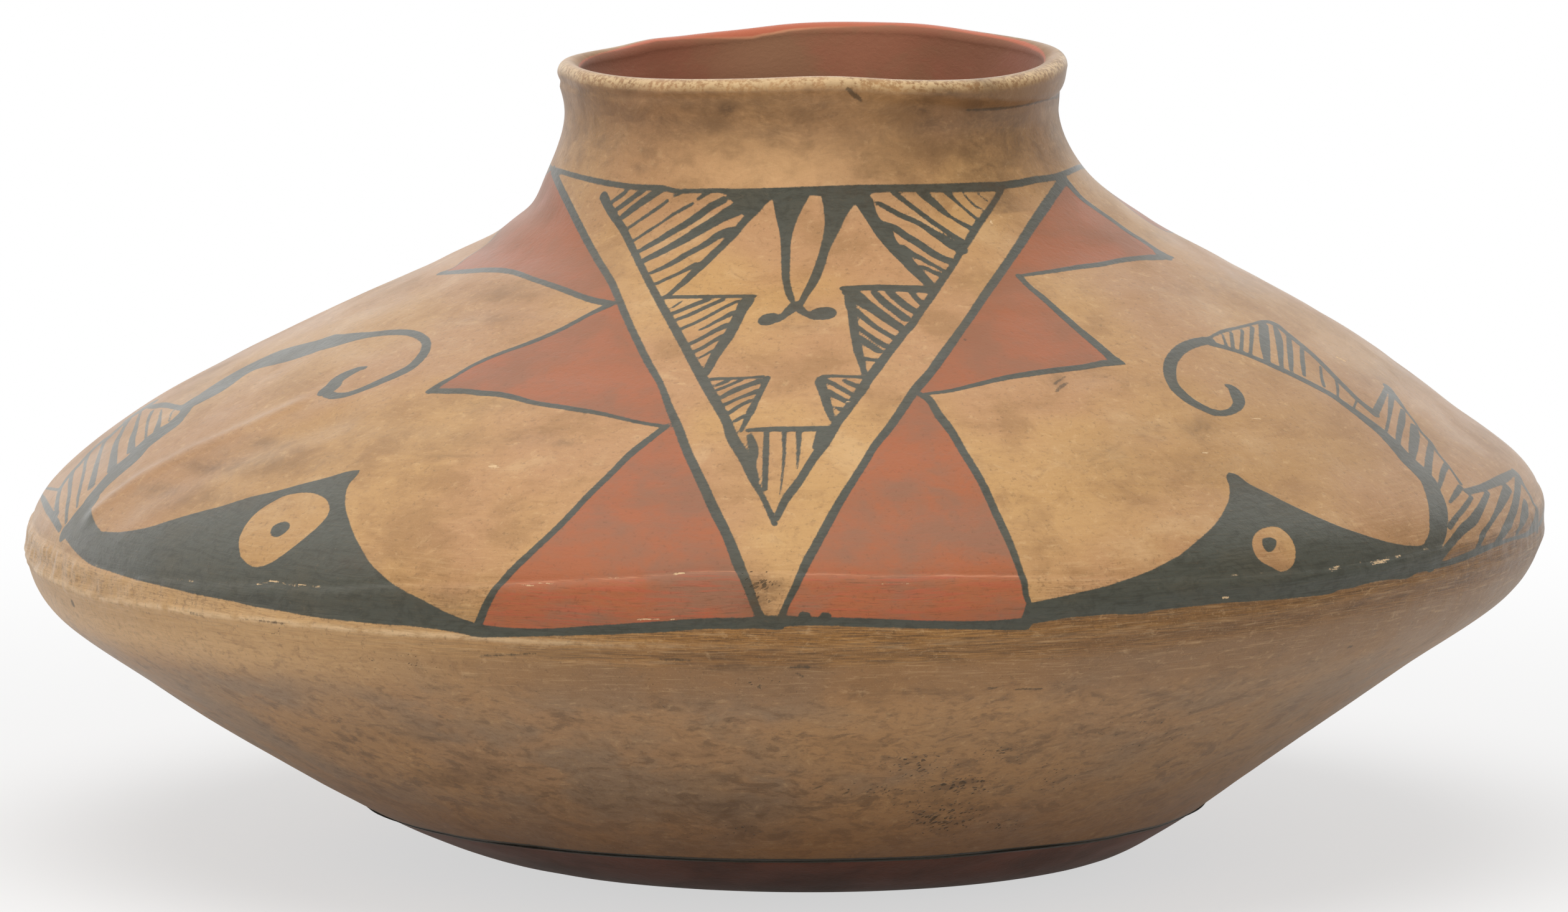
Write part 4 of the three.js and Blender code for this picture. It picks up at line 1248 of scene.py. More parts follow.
def strip_map(row, column, columns, lengths):
    """A bake map that cuts the tube into strips of a share of its girth, one above another."""
    width = columns // STRIPS
    strip = column // width
    left = (column % width) / width
    levels = np.concatenate([[0], np.cumsum(lengths)])
    levels = STRIP_MARGIN + (1 - 2 * STRIP_MARGIN) * levels / levels[-1]
    low, high = (strip + levels[row]) / STRIPS, (strip + levels[row + 1]) / STRIPS
    start, end = (MAP_EDGE + (1 - 2 * MAP_EDGE) * side for side in (left, left + 1 / width))
    corners = ((start, low), (end, low), (end, high), (start, high))
    return np.stack([np.stack(corner, -1) for corner in corners], 1)


def fill(items, key, values, kind=np.float32):
    items.foreach_set(key, np.asarray(values, kind).ravel())


def make_piece(name, points, normals, values, faces, maps):
    """A mesh object from faces of three or four corners, with its own normals, bake map and attributes."""
    mesh = bpy.data.meshes.new(name)
    sides = np.concatenate([np.full(len(f), f.shape[1], np.int32) for f in faces])
    corners = np.concatenate([f.ravel() for f in faces])
    mesh.vertices.add(len(points))
    fill(mesh.vertices, "co", points * MM)
    mesh.loops.add(len(corners))
    fill(mesh.loops, "vertex_index", corners, np.int32)
    mesh.polygons.add(len(sides))
    fill(mesh.polygons, "loop_start", np.concatenate([[0], np.cumsum(sides)[:-1]]), np.int32)
    mesh.update(calc_edges=True)
    fill(mesh.polygons, "use_smooth", np.ones(len(sides)), bool)
    layer = mesh.uv_layers.new(name="OFBake")
    fill(layer.uv, "vector", np.concatenate([m.reshape(-1, 2) for m in maps]))
    for key, value in values.items():
        vector = value.ndim == 2
        made = mesh.attributes.new(key, "FLOAT_VECTOR" if vector else "FLOAT", "POINT")
        fill(made.data, "vector" if vector else "value", value)
    mesh.normals_split_custom_set_from_vertices(normals.astype(np.float32).tolist())
    return bpy.data.objects.new(name, mesh)


def read_by_materials(angles, arcs, fields):
    """Per-point values for the shaders: the place on the wall, and everything painted there."""
    angle = np.broadcast_to(angles, (len(arcs), len(angles)))
    arc = np.broadcast_to(arcs[:, None], angle.shape)
    wall = np.stack([WALL_SCALE * np.cos(angle), WALL_SCALE * np.sin(angle), arc], -1)
    values = {
        "wall": wall,
        "ridge": ridge_distance(angle, arc),
        "fold": fold_distance(angle, arc),
        "slip": arc - CREST_ARC - round_jar(SLIP_EDGE, angle),
        "rim": arc - CREST_ARC - round_jar(RIM_BAND, angle),
        **fields,
    }
    return {key: value.reshape(-1, *value.shape[2:]) for key, value in values.items()}


def with_bare(fields, before, after):
    """Paint fields with bare rows put before and after."""
    made = {}
    for key, bare in BARE.items():
        columns = fields[key].shape[1]
        ends = [np.full((rows, columns), bare) for rows in (before, after)]
        made[key] = np.concatenate([ends[0], fields[key], ends[1]])
    return made


def tube(name, angles, parts, fields):
    """A closed ring of clay from rows that go once round its section."""
    points, normals = (np.concatenate([getattr(p, k) for p in parts]) for k in ("points", "normals"))
    arcs = np.concatenate([p.arcs for p in parts])
    faces, row, column = quads(len(arcs), len(angles), True)
    lengths = np.linalg.norm(np.roll(points[:, 0], -1, axis=0) - points[:, 0], axis=-1)
    lengths[np.cumsum([len(p.arcs) for p in parts]) - 1] = 1
    maps = strip_map(row, column, len(angles), lengths)
    values = read_by_materials(angles, arcs, fields)
    return make_piece(name, points.reshape(-1, 3), normals.reshape(-1, 3), values, [faces], [maps])


def coil(name, low, high, step):
    """A coil: its outer wall, the seam above, its inner wall and the seam below."""
    angles = angles_round(max(outer.radius(low), outer.radius(high)), step)
    out, back = outer_rows(angles, low, high, step), inner_rows(angles, low, high)
    fields = with_bare(paint_fields(angles, out.arcs), 0, len(back.arcs))
    return tube(name, angles, [out, back], fields)


def lip(name, step):
    angles = angles_round(LIP_RADIUS, step)
    over = lip_rows(angles, step)
    outside = int(np.sum(over.arcs < CREST_ARC))
    fields = with_bare(paint_fields(angles, over.arcs[:outside]), 0, len(over.arcs) - outside)
    return tube(name, angles, [over], fields)


def base(name, step):
    """The moulded base, closed at the middle of its underside and of its floor."""
    angles = angles_round(outer.radius(BASE_EDGE_HEIGHT), step)
    rows = base_rows(angles, step)
    count, columns = len(rows.arcs), len(angles)
    faces, row, column = quads(count, columns, False)
    lengths = np.linalg.norm(rows.points[1:, 0] - rows.points[:-1, 0], axis=-1)
    maps = strip_map(row, column, columns, lengths)
    ring = np.arange(columns)
    after = (ring + 1) % columns
    top = (count - 1) * columns
    pole = count * columns
    under = np.stack([ring * 0 + pole, after, ring], -1)
    above = np.stack([top + ring, top + after, ring * 0 + pole + 1], -1)
    caps = np.concatenate([under, above])
    cap_maps = np.full((len(caps), 3, 2), CAP_MAP_AT) + CAP_MAP_SIZE * np.array([[0, 0], [1, 0], [0, 1]])
    below = int(np.sum(rows.arcs < 0))
    side = int(np.sum((rows.arcs >= 0) & (rows.arcs < FOOT_ARC + 0.01)))
    fields = with_bare(paint_fields(angles, rows.arcs[below:below + side]), below, count - below - side)
    values = read_by_materials(angles, rows.arcs, fields)
    values = {key: np.concatenate([value, value[:1], value[-1:]]) for key, value in values.items()}
    poles = [place(0.0, 0.0, 0.0), place(0.0, 0.0, float(FLOOR_THICKNESS))]
    points = np.vstack([rows.points.reshape(-1, 3), poles])
    normals = np.vstack([rows.normals.reshape(-1, 3), [[0, 0, -1], [0, 0, 1]]])
    return make_piece(name, points, normals, values, [faces, caps], [maps, cap_maps])


def linear(red, green, blue):
    """A colour as read off a picture, 0 to 255, as the shader wants it."""
    values = np.array([red, green, blue]) / 255
    values = np.where(values <= 0.04045, values / 12.92, ((values + 0.055) / 1.055) ** 2.4)
    return (*values, 1.0)


class Nodes:
    """Short ways to add the nodes that these materials are made of."""

    def __init__(self, owner):
        owner.use_nodes = True
        self.tree = owner.node_tree
        self.tree.nodes.clear()

    def add(self, kind, inputs=None, **settings):
        node = self.tree.nodes.new(kind)
        for key, value in settings.items():
            setattr(node, key, value)
        for key, value in (inputs or {}).items():
            if isinstance(value, bpy.types.NodeSocket):
                self.tree.links.new(value, node.inputs[key])
            else:
                node.inputs[key].default_value = value
        return node

    def attribute(self, name, output="Fac"):
        return self.add("ShaderNodeAttribute", attribute_name=name).outputs[output]

    def math(self, operation, a, b=0.0, c=0.0):
        return self.add("ShaderNodeMath", {0: a, 1: b, 2: c}, operation=operation).outputs[0]

    def plus(self, a, b, share=1.0):
        """a + b * share"""
        return self.math("MULTIPLY_ADD", b, share, a)

    def times(self, a, b):
        return self.math("MULTIPLY", a, b)

    def step(self, value, low, high, start=0.0, end=1.0):
        """Goes smoothly from start to end as the value goes from low to high."""
        inputs = {"Value": value, "From Min": low, "From Max": high, "To Min": start, "To Max": end}
        return self.add("ShaderNodeMapRange", inputs, interpolation_type="SMOOTHSTEP").outputs["Result"]

    def near(self, value, middle, width, height=1.0):
        """Peaks where the value is at the middle, and is 0 further off than the width."""
        off = self.math("ABSOLUTE", self.plus(value, -middle))
        return self.step(off, 0.0, width, height, 0.0)

    def mix(self, share, a, b):
        return self.add("ShaderNodeMix", {0: share, 6: a, 7: b}, data_type="RGBA").outputs[2]

    def layers(self, colour, rows, share=None):
        """Lays on colours. A row says where its value starts and ends, its cover and its colour."""
        for value, low, high, cover, over in rows:
            amount = self.step(value, low, high, 0.0, cover)
            if share is not None:
                amount = self.times(amount, share)
            colour = self.mix(amount, colour, over)
        return colour

    def sum(self, start, rows):
        """The start and each row's value times its share."""
        for value, share in rows:
            start = self.plus(start, value, share)
        return start

    def scaled(self, vector, x, y, z):
        return self.add("ShaderNodeVectorMath", {0: vector, 1: (x, y, z)}, operation="MULTIPLY").outputs[0]

    def noise(self, vector, scale, detail, roughness):
        inputs = {"Vector": vector, "Scale": scale, "Detail": detail, "Roughness": roughness}
        return self.add("ShaderNodeTexNoise", inputs).outputs["Fac"]

    def warped(self, vector, scale, amount):
        """The vector, pushed about by as much as the amount."""
        noise = self.add("ShaderNodeTexNoise", {"Vector": vector, "Scale": scale, "Detail": 2.0})
        inputs = {0: noise.outputs["Color"], 1: (2 * amount,) * 3, 2: (-amount,) * 3}
        push = self.add("ShaderNodeVectorMath", inputs, operation="MULTIPLY_ADD").outputs[0]
        return self.add("ShaderNodeVectorMath", {0: vector, 1: push}, operation="ADD").outputs[0]


BUFF_GOLD = linear(200, 155, 99)
BUFF_PINK = linear(190, 143, 99)
# Brown smudges of the buff slip, also painted shade towards the sides.
BUFF_BROWN = linear(158, 117, 74)
BUFF_PALE = linear(226, 188, 138)
# Dark grime, also the colour of painted shade on the neck and in the shoulder's hollow.
GRIME_AND_SHADE = linear(90, 66, 42)
LOWER_BROWN = linear(173, 133, 93)
LOWER_WARM = linear(184, 139, 89)
# Grey brown of the lower wall, also painted shade towards the right.
LOWER_GREY = linear(154, 125, 95)
# Dark mottles of the lower wall, also painted shade on the right under the ridge.
LOWER_DARK = linear(118, 90, 62)
LOW_RED = linear(178, 124, 70)
KEEL_OCHRE = linear(160, 112, 56)
# Dark lines of the worked band, also painted shade on its right and under the ridge.
KEEL_DARK = linear(98, 68, 36)
KEEL_PALE = linear(206, 164, 104)
KEEL_LIGHT = linear(216, 173, 120)
# Painted shade under the keel's ridge.
UNDER_RIDGE = linear(142, 100, 56)
RED = linear(170, 97, 60)
RED_DULL = linear(150, 102, 76)
RED_DEEP = linear(182, 88, 60)
# Painted shade: the red towards the neck.
RED_HIGH = linear(144, 78, 32)
RED_PALE = linear(214, 150, 112)
# A painted highlight speckled over the lip's crest.
LIP_HIGHLIGHT = linear(226, 194, 146)
# Painted light on the neck's front.
NECK_TAN = linear(222, 176, 124)
INSIDE_RIM = linear(192, 106, 76)
INSIDE_RED = linear(163, 105, 77)
# Brown inside the mouth, also painted shade further in.
INSIDE_BROWN = linear(155, 110, 80)
INSIDE_WARM = linear(130, 72, 50)
FOOT_RED = linear(130, 66, 26)
FOOT_DARK = linear(102, 53, 20)
BLACK = linear(75, 77, 67)
BLACK_DEEP = linear(56, 57, 47)
BLACK_WORN = linear(88, 80, 62)
# Pale clay where paint has flaked, also a painted highlight along the keel's ridge.
FLAKE_AND_HIGHLIGHT = linear(232, 196, 150)
DUST = linear(255, 248, 238)
PIT = linear(72, 60, 42)

CLAY_IOR = 1.45
SHEEN = {"Sheen Weight": 0.22, "Sheen Roughness": 0.28, "Sheen Tint": DUST}
BUMP_DEPTH = 0.00012  # metres

# Where the zones lie, in millimetres above the ridge, up the wall and right of the middle.
# Painted shade lies in this band.
UNDER_BAND = (-5.0, 13.0)  # middle and half width of the darker band under the ridge
GOLDEN_MIDDLE = 2.6
GOLDEN_REACH = (3.4, 7.0)  # how far from its middle the golden band is full and gone
LOWER_DOWN = (KEEL_ARC - 12.0, FOOT_ARC + 6.0)
LOW_RED_RISE = 32.0
NECK_START = (NECK_ARC - 2.0, NECK_ARC + 6.0)
NECK_HIGH = (NECK_ARC + 8.0, float(CREST_ARC) - 7.0)
# Painted shade darkens the red between these arcs.
RED_DARKENS = (KEEL_ARC + 22.0, NECK_ARC - 10.0)
# Where painted light lightens the neck's front.
MIDDLE_OF_NECK = (-14.0, 70.0)
# Where painted shade darkens the neck's right.
RIGHT_OF_NECK = (20.0, 75.0)
PALE_INSIDE = (-16.0, 42.0)
INSIDE_SIDES = (16.0, 72.0)


class Texture:
    """The noises that every layer of the clay shares, in millimetres on the clay and along its polishing."""

    def __init__(self, n):
        self.wall = n.attribute("wall", "Vector")
        self.clay = n.scaled(n.add("ShaderNodeTexCoord").outputs["Object"], 1 / MM, 1 / MM, 1 / MM)
        drift = n.warped(self.wall, 0.05, 1.8)
        crooked = n.warped(self.clay, 0.08, 4.0)
        split = n.add("ShaderNodeSeparateXYZ", {0: self.wall})
        self.right, self.arc = split.outputs["X"], split.outputs["Z"]
        self.depth = n.plus(self.arc, -float(CREST_ARC))
        self.ridge = n.attribute("ridge")
        self.fold = n.attribute("fold")
        self.broad = n.noise(self.clay, 0.02, 3, 0.5)
        self.cloud = n.noise(n.scaled(crooked, 1, 1, 1.5), 0.055, 5, 0.6)
        self.smudge = n.noise(n.scaled(crooked, 0.9, 0.9, 1.5), 0.2, 4, 0.62)
        self.mottle = n.noise(n.scaled(crooked, 0.85, 0.85, 1.6), 0.5, 5, 0.68)
        self.streak = n.noise(n.scaled(drift, 0.16, 0.16, 1.7), 1.0, 4, 0.62)
        self.hair = n.noise(n.scaled(drift, 0.35, 0.35, 4.2), 1.0, 3, 0.6)
        self.dash = n.noise(n.scaled(drift, 0.3, 0.3, 1.5), 1.0, 3, 0.6)
        self.upright = n.noise(n.scaled(drift, 1.0, 1.0, 0.10), 1.0, 3, 0.6)
        self.grain = n.noise(self.clay, 1.1, 3, 0.65)
        self.fine = n.noise(self.clay, 3.6, 2, 0.6)
        self.ragged = n.plus(n.plus(n.times(self.grain, 0.7), self.fine, 0.3), -0.5)
        self.worked = n.times(n.step(self.fold, 1.5, -1.5), n.step(self.ridge, -1.0, 2.0))
        above = n.step(self.ridge, 24.0, 8.0, 0.3, 1.0)
        self.brushed = n.times(above, n.step(self.ridge, -16.0, -5.0, 0.3, 1.0))


def buff_colour(n, t):
    """Polished buff slip: warm patches and brown smudges, and browner towards the sides as painted shade."""
    return n.layers(BUFF_PINK, (
        (t.broad, 0.42, 0.60, 1.0, BUFF_GOLD),
        (t.cloud, 0.50, 0.68, 0.6, BUFF_BROWN),
        (t.cloud, 0.44, 0.32, 0.3, BUFF_PALE),
        (t.smudge, 0.54, 0.72, 0.35, BUFF_BROWN),
        # Painted shade: browner towards both sides.
        (t.right, 20.0, 90.0, 0.52, BUFF_BROWN),
        (t.right, -30.0, -95.0, 0.42, BUFF_BROWN),
    ))


def lower_colour(n, t):
    """Below the keel the slip is thinner and browner, with darker mottles further down, and painted shade in
    a band under the ridge and towards the right.
    """
    colour = n.layers(LOWER_GREY, (
        (t.cloud, 0.40, 0.60, 1.0, LOWER_BROWN),
        (t.broad, 0.44, 0.60, 0.7, LOWER_WARM),
        (t.smudge, 0.50, 0.72, 0.4, LOWER_DARK),
        (t.cloud, 0.56, 0.70, 0.35, LOWER_DARK),
    ))
    # Painted shade in a band under the keel's ridge.
    under = n.near(n.plus(t.ridge, t.smudge, 4.0), *UNDER_BAND)
    colour = n.mix(n.times(under, 0.62), colour, UNDER_RIDGE)
    # Painted shade on the right of that band, and paler on the left.
    colour = n.layers(colour, (
        (t.right, 15.0, 75.0, 0.5, LOWER_DARK),
        (t.right, -20.0, -80.0, 0.9, KEEL_LIGHT),
    ), under)
    lower_down = n.step(t.arc, *LOWER_DOWN)
    colour = n.layers(colour, (
        (t.mottle, 0.50, 0.64, 0.46, LOWER_DARK),
        (n.plus(t.smudge, lower_down, 0.05), 0.56, 0.66, 0.5, LOWER_DARK),
    ), n.step(t.ridge, -4.0, -20.0, 0.25, 1.0))
    # Painted shade: greyer towards the right.
    colour = n.mix(n.step(t.right, 10.0, 90.0, 0.0, 0.3), colour, LOWER_GREY)
    return n.mix(n.step(t.arc, FOOT_ARC, FOOT_ARC + LOW_RED_RISE, 0.5, 0.0), colour, LOW_RED)


def keel_colour(n, t):
    """The worked band under the painting, golden and full of fine lines, paler on the left and darker on the
    right as painted shade, with a painted highlight along the ridge and painted shade just below it.
    """
    line = n.noise(n.scaled(t.wall, 0.2, 0.2, 4.4), 1.0, 4, 0.7)
    # Paler on the left, and darker on the right as painted shade.
    colour = n.layers(KEEL_DARK, (
        (line, 0.36, 0.58, 1.0, KEEL_OCHRE),
        (line, 0.56, 0.72, 0.5, KEEL_PALE),
        (t.right, -8.0, -70.0, 0.8, KEEL_LIGHT),
        (t.right, 10.0, 60.0, 0.5, KEEL_DARK),
    ))
    rough_ridge = n.plus(t.ridge, t.grain, 0.8)
    # Painted highlight along the ridge, strongest on the left.
    crest = n.times(n.near(rough_ridge, 0.6, 1.0), n.step(t.right, 0.0, -50.0, 0.06, 0.85))
    colour = n.mix(n.times(crest, n.step(t.smudge, 0.34, 0.52)), colour, FLAKE_AND_HIGHLIGHT)
    # Painted shade just below the ridge, from the middle to the right.
    shade = n.times(n.near(rough_ridge, -1.2, 1.0), n.step(t.right, -45.0, 0.0, 0.0, 0.3))
    return n.mix(shade, colour, KEEL_DARK)


def wall_colour(n, t):
    """The three zones of the outer wall, ragged where they meet, under streaks and grain that they share."""
    edge = n.plus(t.ridge, n.plus(t.smudge, t.streak), 3.0)
    colour = n.mix(n.step(edge, -1.4, 0.6), lower_colour(n, t), buff_colour(n, t))
    off_band = n.math("ABSOLUTE", n.plus(n.plus(t.ridge, t.smudge, 3.0), -GOLDEN_MIDDLE))
    colour = n.mix(n.step(off_band, *GOLDEN_REACH, 0.95, 0.0), colour, keel_colour(n, t))
    colour = n.layers(colour, (
        (t.streak, 0.50, 0.76, 0.34, BUFF_PALE),
        (t.streak, 0.46, 0.26, 0.44, BUFF_BROWN),
        (t.dash, 0.56, 0.74, 0.26, BUFF_BROWN),
        (t.hair, 0.42, 0.26, 0.24, KEEL_DARK),
    ), t.brushed)
    colour = n.layers(colour, (
        (t.mottle, 0.52, 0.70, 0.34, BUFF_BROWN),
        (t.mottle, 0.44, 0.30, 0.26, BUFF_PALE),
        (t.upright, 0.56, 0.75, 0.12, BUFF_BROWN),
        (t.grain, 0.44, 0.28, 0.30, GRIME_AND_SHADE),
    ))
    sandy = n.step(n.times(t.worked, n.plus(t.cloud, 0.2)), 0.35, 0.75)
    specks = n.step(n.plus(n.times(t.grain, 0.5), t.hair, 0.5), 0.50, 0.42)
    colour = n.mix(n.times(n.times(sandy, specks), 0.3), colour, KEEL_DARK)
    return n.mix(n.step(t.fine, 0.56, 0.76, 0.0, 0.22), colour, BUFF_PALE)


def neck_wear_light_and_shade(n, t, colour):
    """Handling has browned the neck. Painted light makes its front lighter and painted shade its right
    darker, and a speckled painted highlight lies on the lip.
    """
    neck = n.step(t.arc, *NECK_START)
    high = n.step(t.arc, *NECK_HIGH)
    # Painted light: the neck's front is lighter.
    colour = n.mix(n.times(neck, n.near(t.right, *MIDDLE_OF_NECK, 0.6)), colour, NECK_TAN)
    handled = n.times(high, n.step(n.plus(t.mottle, t.cloud), 0.7, 1.1, 0.25, 0.6))
    colour = n.mix(handled, colour, BUFF_BROWN)
    # Grime on the neck, with painted shade added towards its right.
    right = n.step(t.right, *RIGHT_OF_NECK)
    dirt_and_shade = n.sum(n.times(t.cloud, 0.6), ((t.smudge, 0.7), (t.grain, 0.2), (high, 0.14), (right, 0.12)))
    colour = n.mix(n.times(neck, n.step(dirt_and_shade, 0.70, 1.06, 0.0, 0.32)), colour, GRIME_AND_SHADE)
    # A speckled painted highlight over the lip's crest.
    rim = n.near(n.plus(t.depth, t.smudge, -1.6), -2.6, 2.6, 0.75)
    spots = n.step(n.plus(t.grain, t.smudge, 0.5), 0.62, 0.84)
    return n.mix(n.times(rim, spots), colour, LIP_HIGHLIGHT)


def inside_colour(n, t, colour):
    """Red slip over the crest and down inside, brightest in a band at the top, and browner further in as
    painted shade.
    """
    side = n.math("ABSOLUTE", t.right)
    red = n.layers(INSIDE_RED, (
        (t.cloud, 0.40, 0.62, 1.0, INSIDE_BROWN),
        (side, *INSIDE_SIDES, 0.6, INSIDE_WARM),
    ))
    band = n.plus(n.attribute("rim"), t.cloud, 1.2)
    red = n.mix(n.step(band, 0.3, 0.9, 1.0, 0.0), red, INSIDE_RIM)
    red = n.mix(n.times(n.near(band, 0.6, 0.5), n.near(t.right, *PALE_INSIDE, 0.8)), red, RED_PALE)
    red = n.layers(red, (
        (t.streak, 0.44, 0.28, 0.3, INSIDE_BROWN),
        # Painted shade deeper inside.
        (t.depth, 30.0, 90.0, 0.5, INSIDE_BROWN),
    ))
    return n.mix(n.step(n.plus(n.attribute("slip"), t.grain, 0.9), 0.1, 0.6), colour, red)


def grimed_and_shaded(n, t, colour):
    """Stains and painted shade, pits and dark scuffs, and how deep the pits are."""
    patchy = n.step(n.sum(t.smudge, ((t.mottle, 0.7), (t.grain, 0.5))), 0.85, 1.30, 0.3, 1.0)
    # Soft spots: stains, and painted shade in the shoulder's hollow and on the neck's right.
    stain_and_shade = n.times(n.attribute("stain_and_shade"), patchy)
    colour = n.mix(n.times(stain_and_shade, 0.72), colour, GRIME_AND_SHADE)
    slanted = n.add("ShaderNodeVectorRotate", {"Vector": t.clay, "Axis": (0, 1, 0), "Angle": 0.6})
    slanted = n.scaled(n.warped(slanted.outputs[0], 0.4, 0.8), 1.0, 0.7, 2.2)
    dots = n.add("ShaderNodeTexVoronoi", {"Vector": slanted, "Scale": 0.8})
    pits = n.plus(n.attribute("pits"), n.step(t.ridge, -3.0, -9.0), 0.24)
    size = n.plus(n.plus(n.times(pits, 0.36), t.smudge, 0.5), -0.26)
    pit = n.step(n.math("SUBTRACT", dots.outputs["Distance"], size), -0.10, 0.04, 1.0, 0.0)
    pit = n.times(pit, n.step(pits, 0.06, 0.4))
    colour = n.mix(n.times(pit, n.step(t.grain, 0.3, 0.6, 0.35, 0.85)), colour, PIT)
    scuff = n.step(n.plus(n.attribute("scuff"), t.ragged, 1.2), -0.18, 0.18, 0.7, 0.0)
    return n.mix(scuff, colour, PIT), pit


def red_paint(n, t):
    """The matt red of the fields, scraped at the worked band, and darker towards the neck as painted shade.
    """
    red = n.layers(RED, (
        (t.cloud, 0.40, 0.62, 1.0, RED_DULL),
        (t.smudge, 0.46, 0.70, 0.35, RED_DULL),
        (t.mottle, 0.50, 0.68, 0.4, RED_DULL),
    ))
    scraped = n.plus(n.times(t.worked, 0.5), 0.12)
    red = n.mix(n.times(n.step(t.streak, 0.46, 0.66), scraped), red, RED_DEEP)
    red = n.mix(n.times(n.step(t.hair, 0.44, 0.30), n.plus(n.times(t.worked, 0.3), 0.08)), red, GRIME_AND_SHADE)
    red = n.mix(n.step(t.grain, 0.42, 0.28, 0.0, 0.24), red, GRIME_AND_SHADE)
    worn = n.times(n.near(t.fold, -0.2, 0.5, 0.5), n.step(t.streak, 0.42, 0.60))
    red = n.mix(worn, red, RED_PALE)
    # Painted shade: the red darkens towards the neck.
    return n.mix(n.step(t.arc, *RED_DARKENS, 0.0, 0.5), red, RED_HIGH)


def painted(n, t, colour):
    """The red fields, the black lines over them, and flakes where both have gone."""
    red_here = n.step(n.plus(n.attribute("red"), t.ragged, 0.9), -0.15, 0.15, 0.96, 0.0)
    colour = n.mix(red_here, colour, red_paint(n, t))
    black = n.layers(BLACK, (
        (t.cloud, 0.46, 0.68, 0.35, BLACK_WORN),
        (t.mottle, 0.46, 0.64, 0.55, BLACK_DEEP),
        (t.streak, 0.50, 0.34, 0.5, BLACK_DEEP),
        (t.hair, 0.54, 0.70, 0.4, BLACK_WORN),
    ))
    black_edge = n.plus(n.attribute("black"), t.ragged, 0.45)
    cover = n.times(n.step(black_edge, -0.16, 0.12, 1.0, 0.0), n.step(t.grain, 0.60, 0.80, 0.98, 0.88))
    colour = n.mix(cover, colour, black)
    torn = n.plus(n.plus(t.ragged, t.streak, 1.4), -0.6)
    flake = n.step(n.plus(n.attribute("flake"), torn, 1.3), -0.12, 0.12, 0.85, 0.0)
    crack = n.times(n.near(t.fold, 0.0, 0.35, 0.6), n.step(t.smudge, 0.60, 0.70))
    flake = n.math("MAXIMUM", flake, n.times(crack, n.step(t.grain, 0.40, 0.60)))
    return n.mix(flake, colour, FLAKE_AND_HIGHLIGHT), cover, flake


def fired_clay(name, foot):
    """Polished slip with its painting. The foot's slip is red, and the rest is buff."""
    material = bpy.data.materials.new(name)
    n = Nodes(material)
    t = Texture(n)
    if foot:
        colour = n.mix(n.step(t.cloud, 0.4, 0.65), FOOT_RED, FOOT_DARK)
    else:
        colour = neck_wear_light_and_shade(n, t, wall_colour(n, t))
    colour = inside_colour(n, t, colour)
    colour, cover, flake = painted(n, t, colour)
    colour, pit = grimed_and_shaded(n, t, colour)
    inside = n.step(t.depth, 0.0, 2.0)
    rough = n.step(t.cloud, 0.3, 0.7, 0.36, 0.46)
    rough = n.sum(rough, ((cover, -0.06), (flake, 0.2), (pit, 0.2), (inside, 0.15)))
    keel = n.near(t.ridge, 1.0, 8.0)
    height = n.sum(n.times(n.times(t.streak, 0.4), t.brushed), (
        (t.grain, 0.5),
        (n.times(t.hair, t.brushed), 0.24),
        (t.mottle, 0.5),
        (t.fine, 0.15),
        (n.times(keel, t.streak), 1.0),
        (pit, -0.9),
        (flake, -0.5),
        (cover, 0.12),
    ))
    bumped = n.add("ShaderNodeBump", {"Height": height, "Strength": 1.0, "Distance": BUMP_DEPTH})
    inputs = {"Base Color": colour, "Roughness": rough, "Normal": bumped.outputs["Normal"], "IOR": CLAY_IOR}
    surface = n.add("ShaderNodeBsdfPrincipled", {**inputs, **SHEEN}).outputs["BSDF"]
    n.add("ShaderNodeOutputMaterial", {"Surface": surface})
    return material


def jar():
    """Each coil's finished surface, in place of its plain solid."""
    buff = fired_clay("fired_buff", False)
    red = fired_clay("fired_red", True)
    made = [("base_moulded", base("base_moulded_fired", PLAIN_STEP), red)]
    for kind, low, high, count, step in (
        ("lower_wall_coil", BASE_EDGE_HEIGHT, KEEL_SEAM_LOW, LOWER_COILS, PLAIN_STEP),
        ("keel_coil", KEEL_SEAM_LOW, KEEL_SEAM_HIGH, KEEL_COILS, OUTER_STEP),
        ("shoulder_coil", KEEL_SEAM_HIGH, ROOT_HEIGHT, SHOULDER_COILS, OUTER_STEP),
        ("neck_coil", ROOT_HEIGHT, LIP_SEAM, NECK_COILS, OUTER_STEP),
    ):
        rise = (high - low) / count
        for i in range(count):
            node = f"{kind}_{i + 1}"
            made.append((node, coil(f"{node}_fired", low + rise * i, low + rise * (i + 1), step), buff))
    made.append(("lip_coil", lip("lip_coil_fired", OUTER_STEP), buff))
    for node, piece, material in made:
        bpy.context.scene.collection.objects.link(piece)
        piece.data.materials.append(material)
        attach(piece, "root")
        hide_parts(node)


def new_object(name, data):
    thing = bpy.data.objects.new(name, data)
    bpy.context.scene.collection.objects.link(thing)
    return thing


def camera():
    made = bpy.data.cameras.new("photograph")
    made.sensor_width = SENSOR_WIDTH
    made.lens = FOCAL_PIXELS / PHOTO_WIDTH * SENSOR_WIDTH
    made.clip_start, made.clip_end = CAMERA_CLIP
    thing = new_object("photograph", made)
    turn = Matrix((CAMERA_RIGHT, CAMERA_UP, CAMERA_BACK)).transposed().to_4x4()
    thing.matrix_world = Matrix.Translation(Vector(CAMERA_EYE * MM)) @ turn
    bpy.context.scene.camera = thing


def lamp():
    """A wide soft light overhead and in front, which the slip's sheen doesn't mirror."""
    made = bpy.data.lights.new("overhead", "AREA")
    made.shape = "DISK"
    made.size = LAMP_WIDTH
    made.energy = LAMP_POWER
    thing = new_object("overhead", made)
    thing.location = LAMP_AT
    thing.rotation_mode = "QUATERNION"
    thing.rotation_quaternion = (Vector(LAMP_TOWARDS) - Vector(LAMP_AT)).to_track_quat("-Z", "Y")
    thing.visible_glossy = False


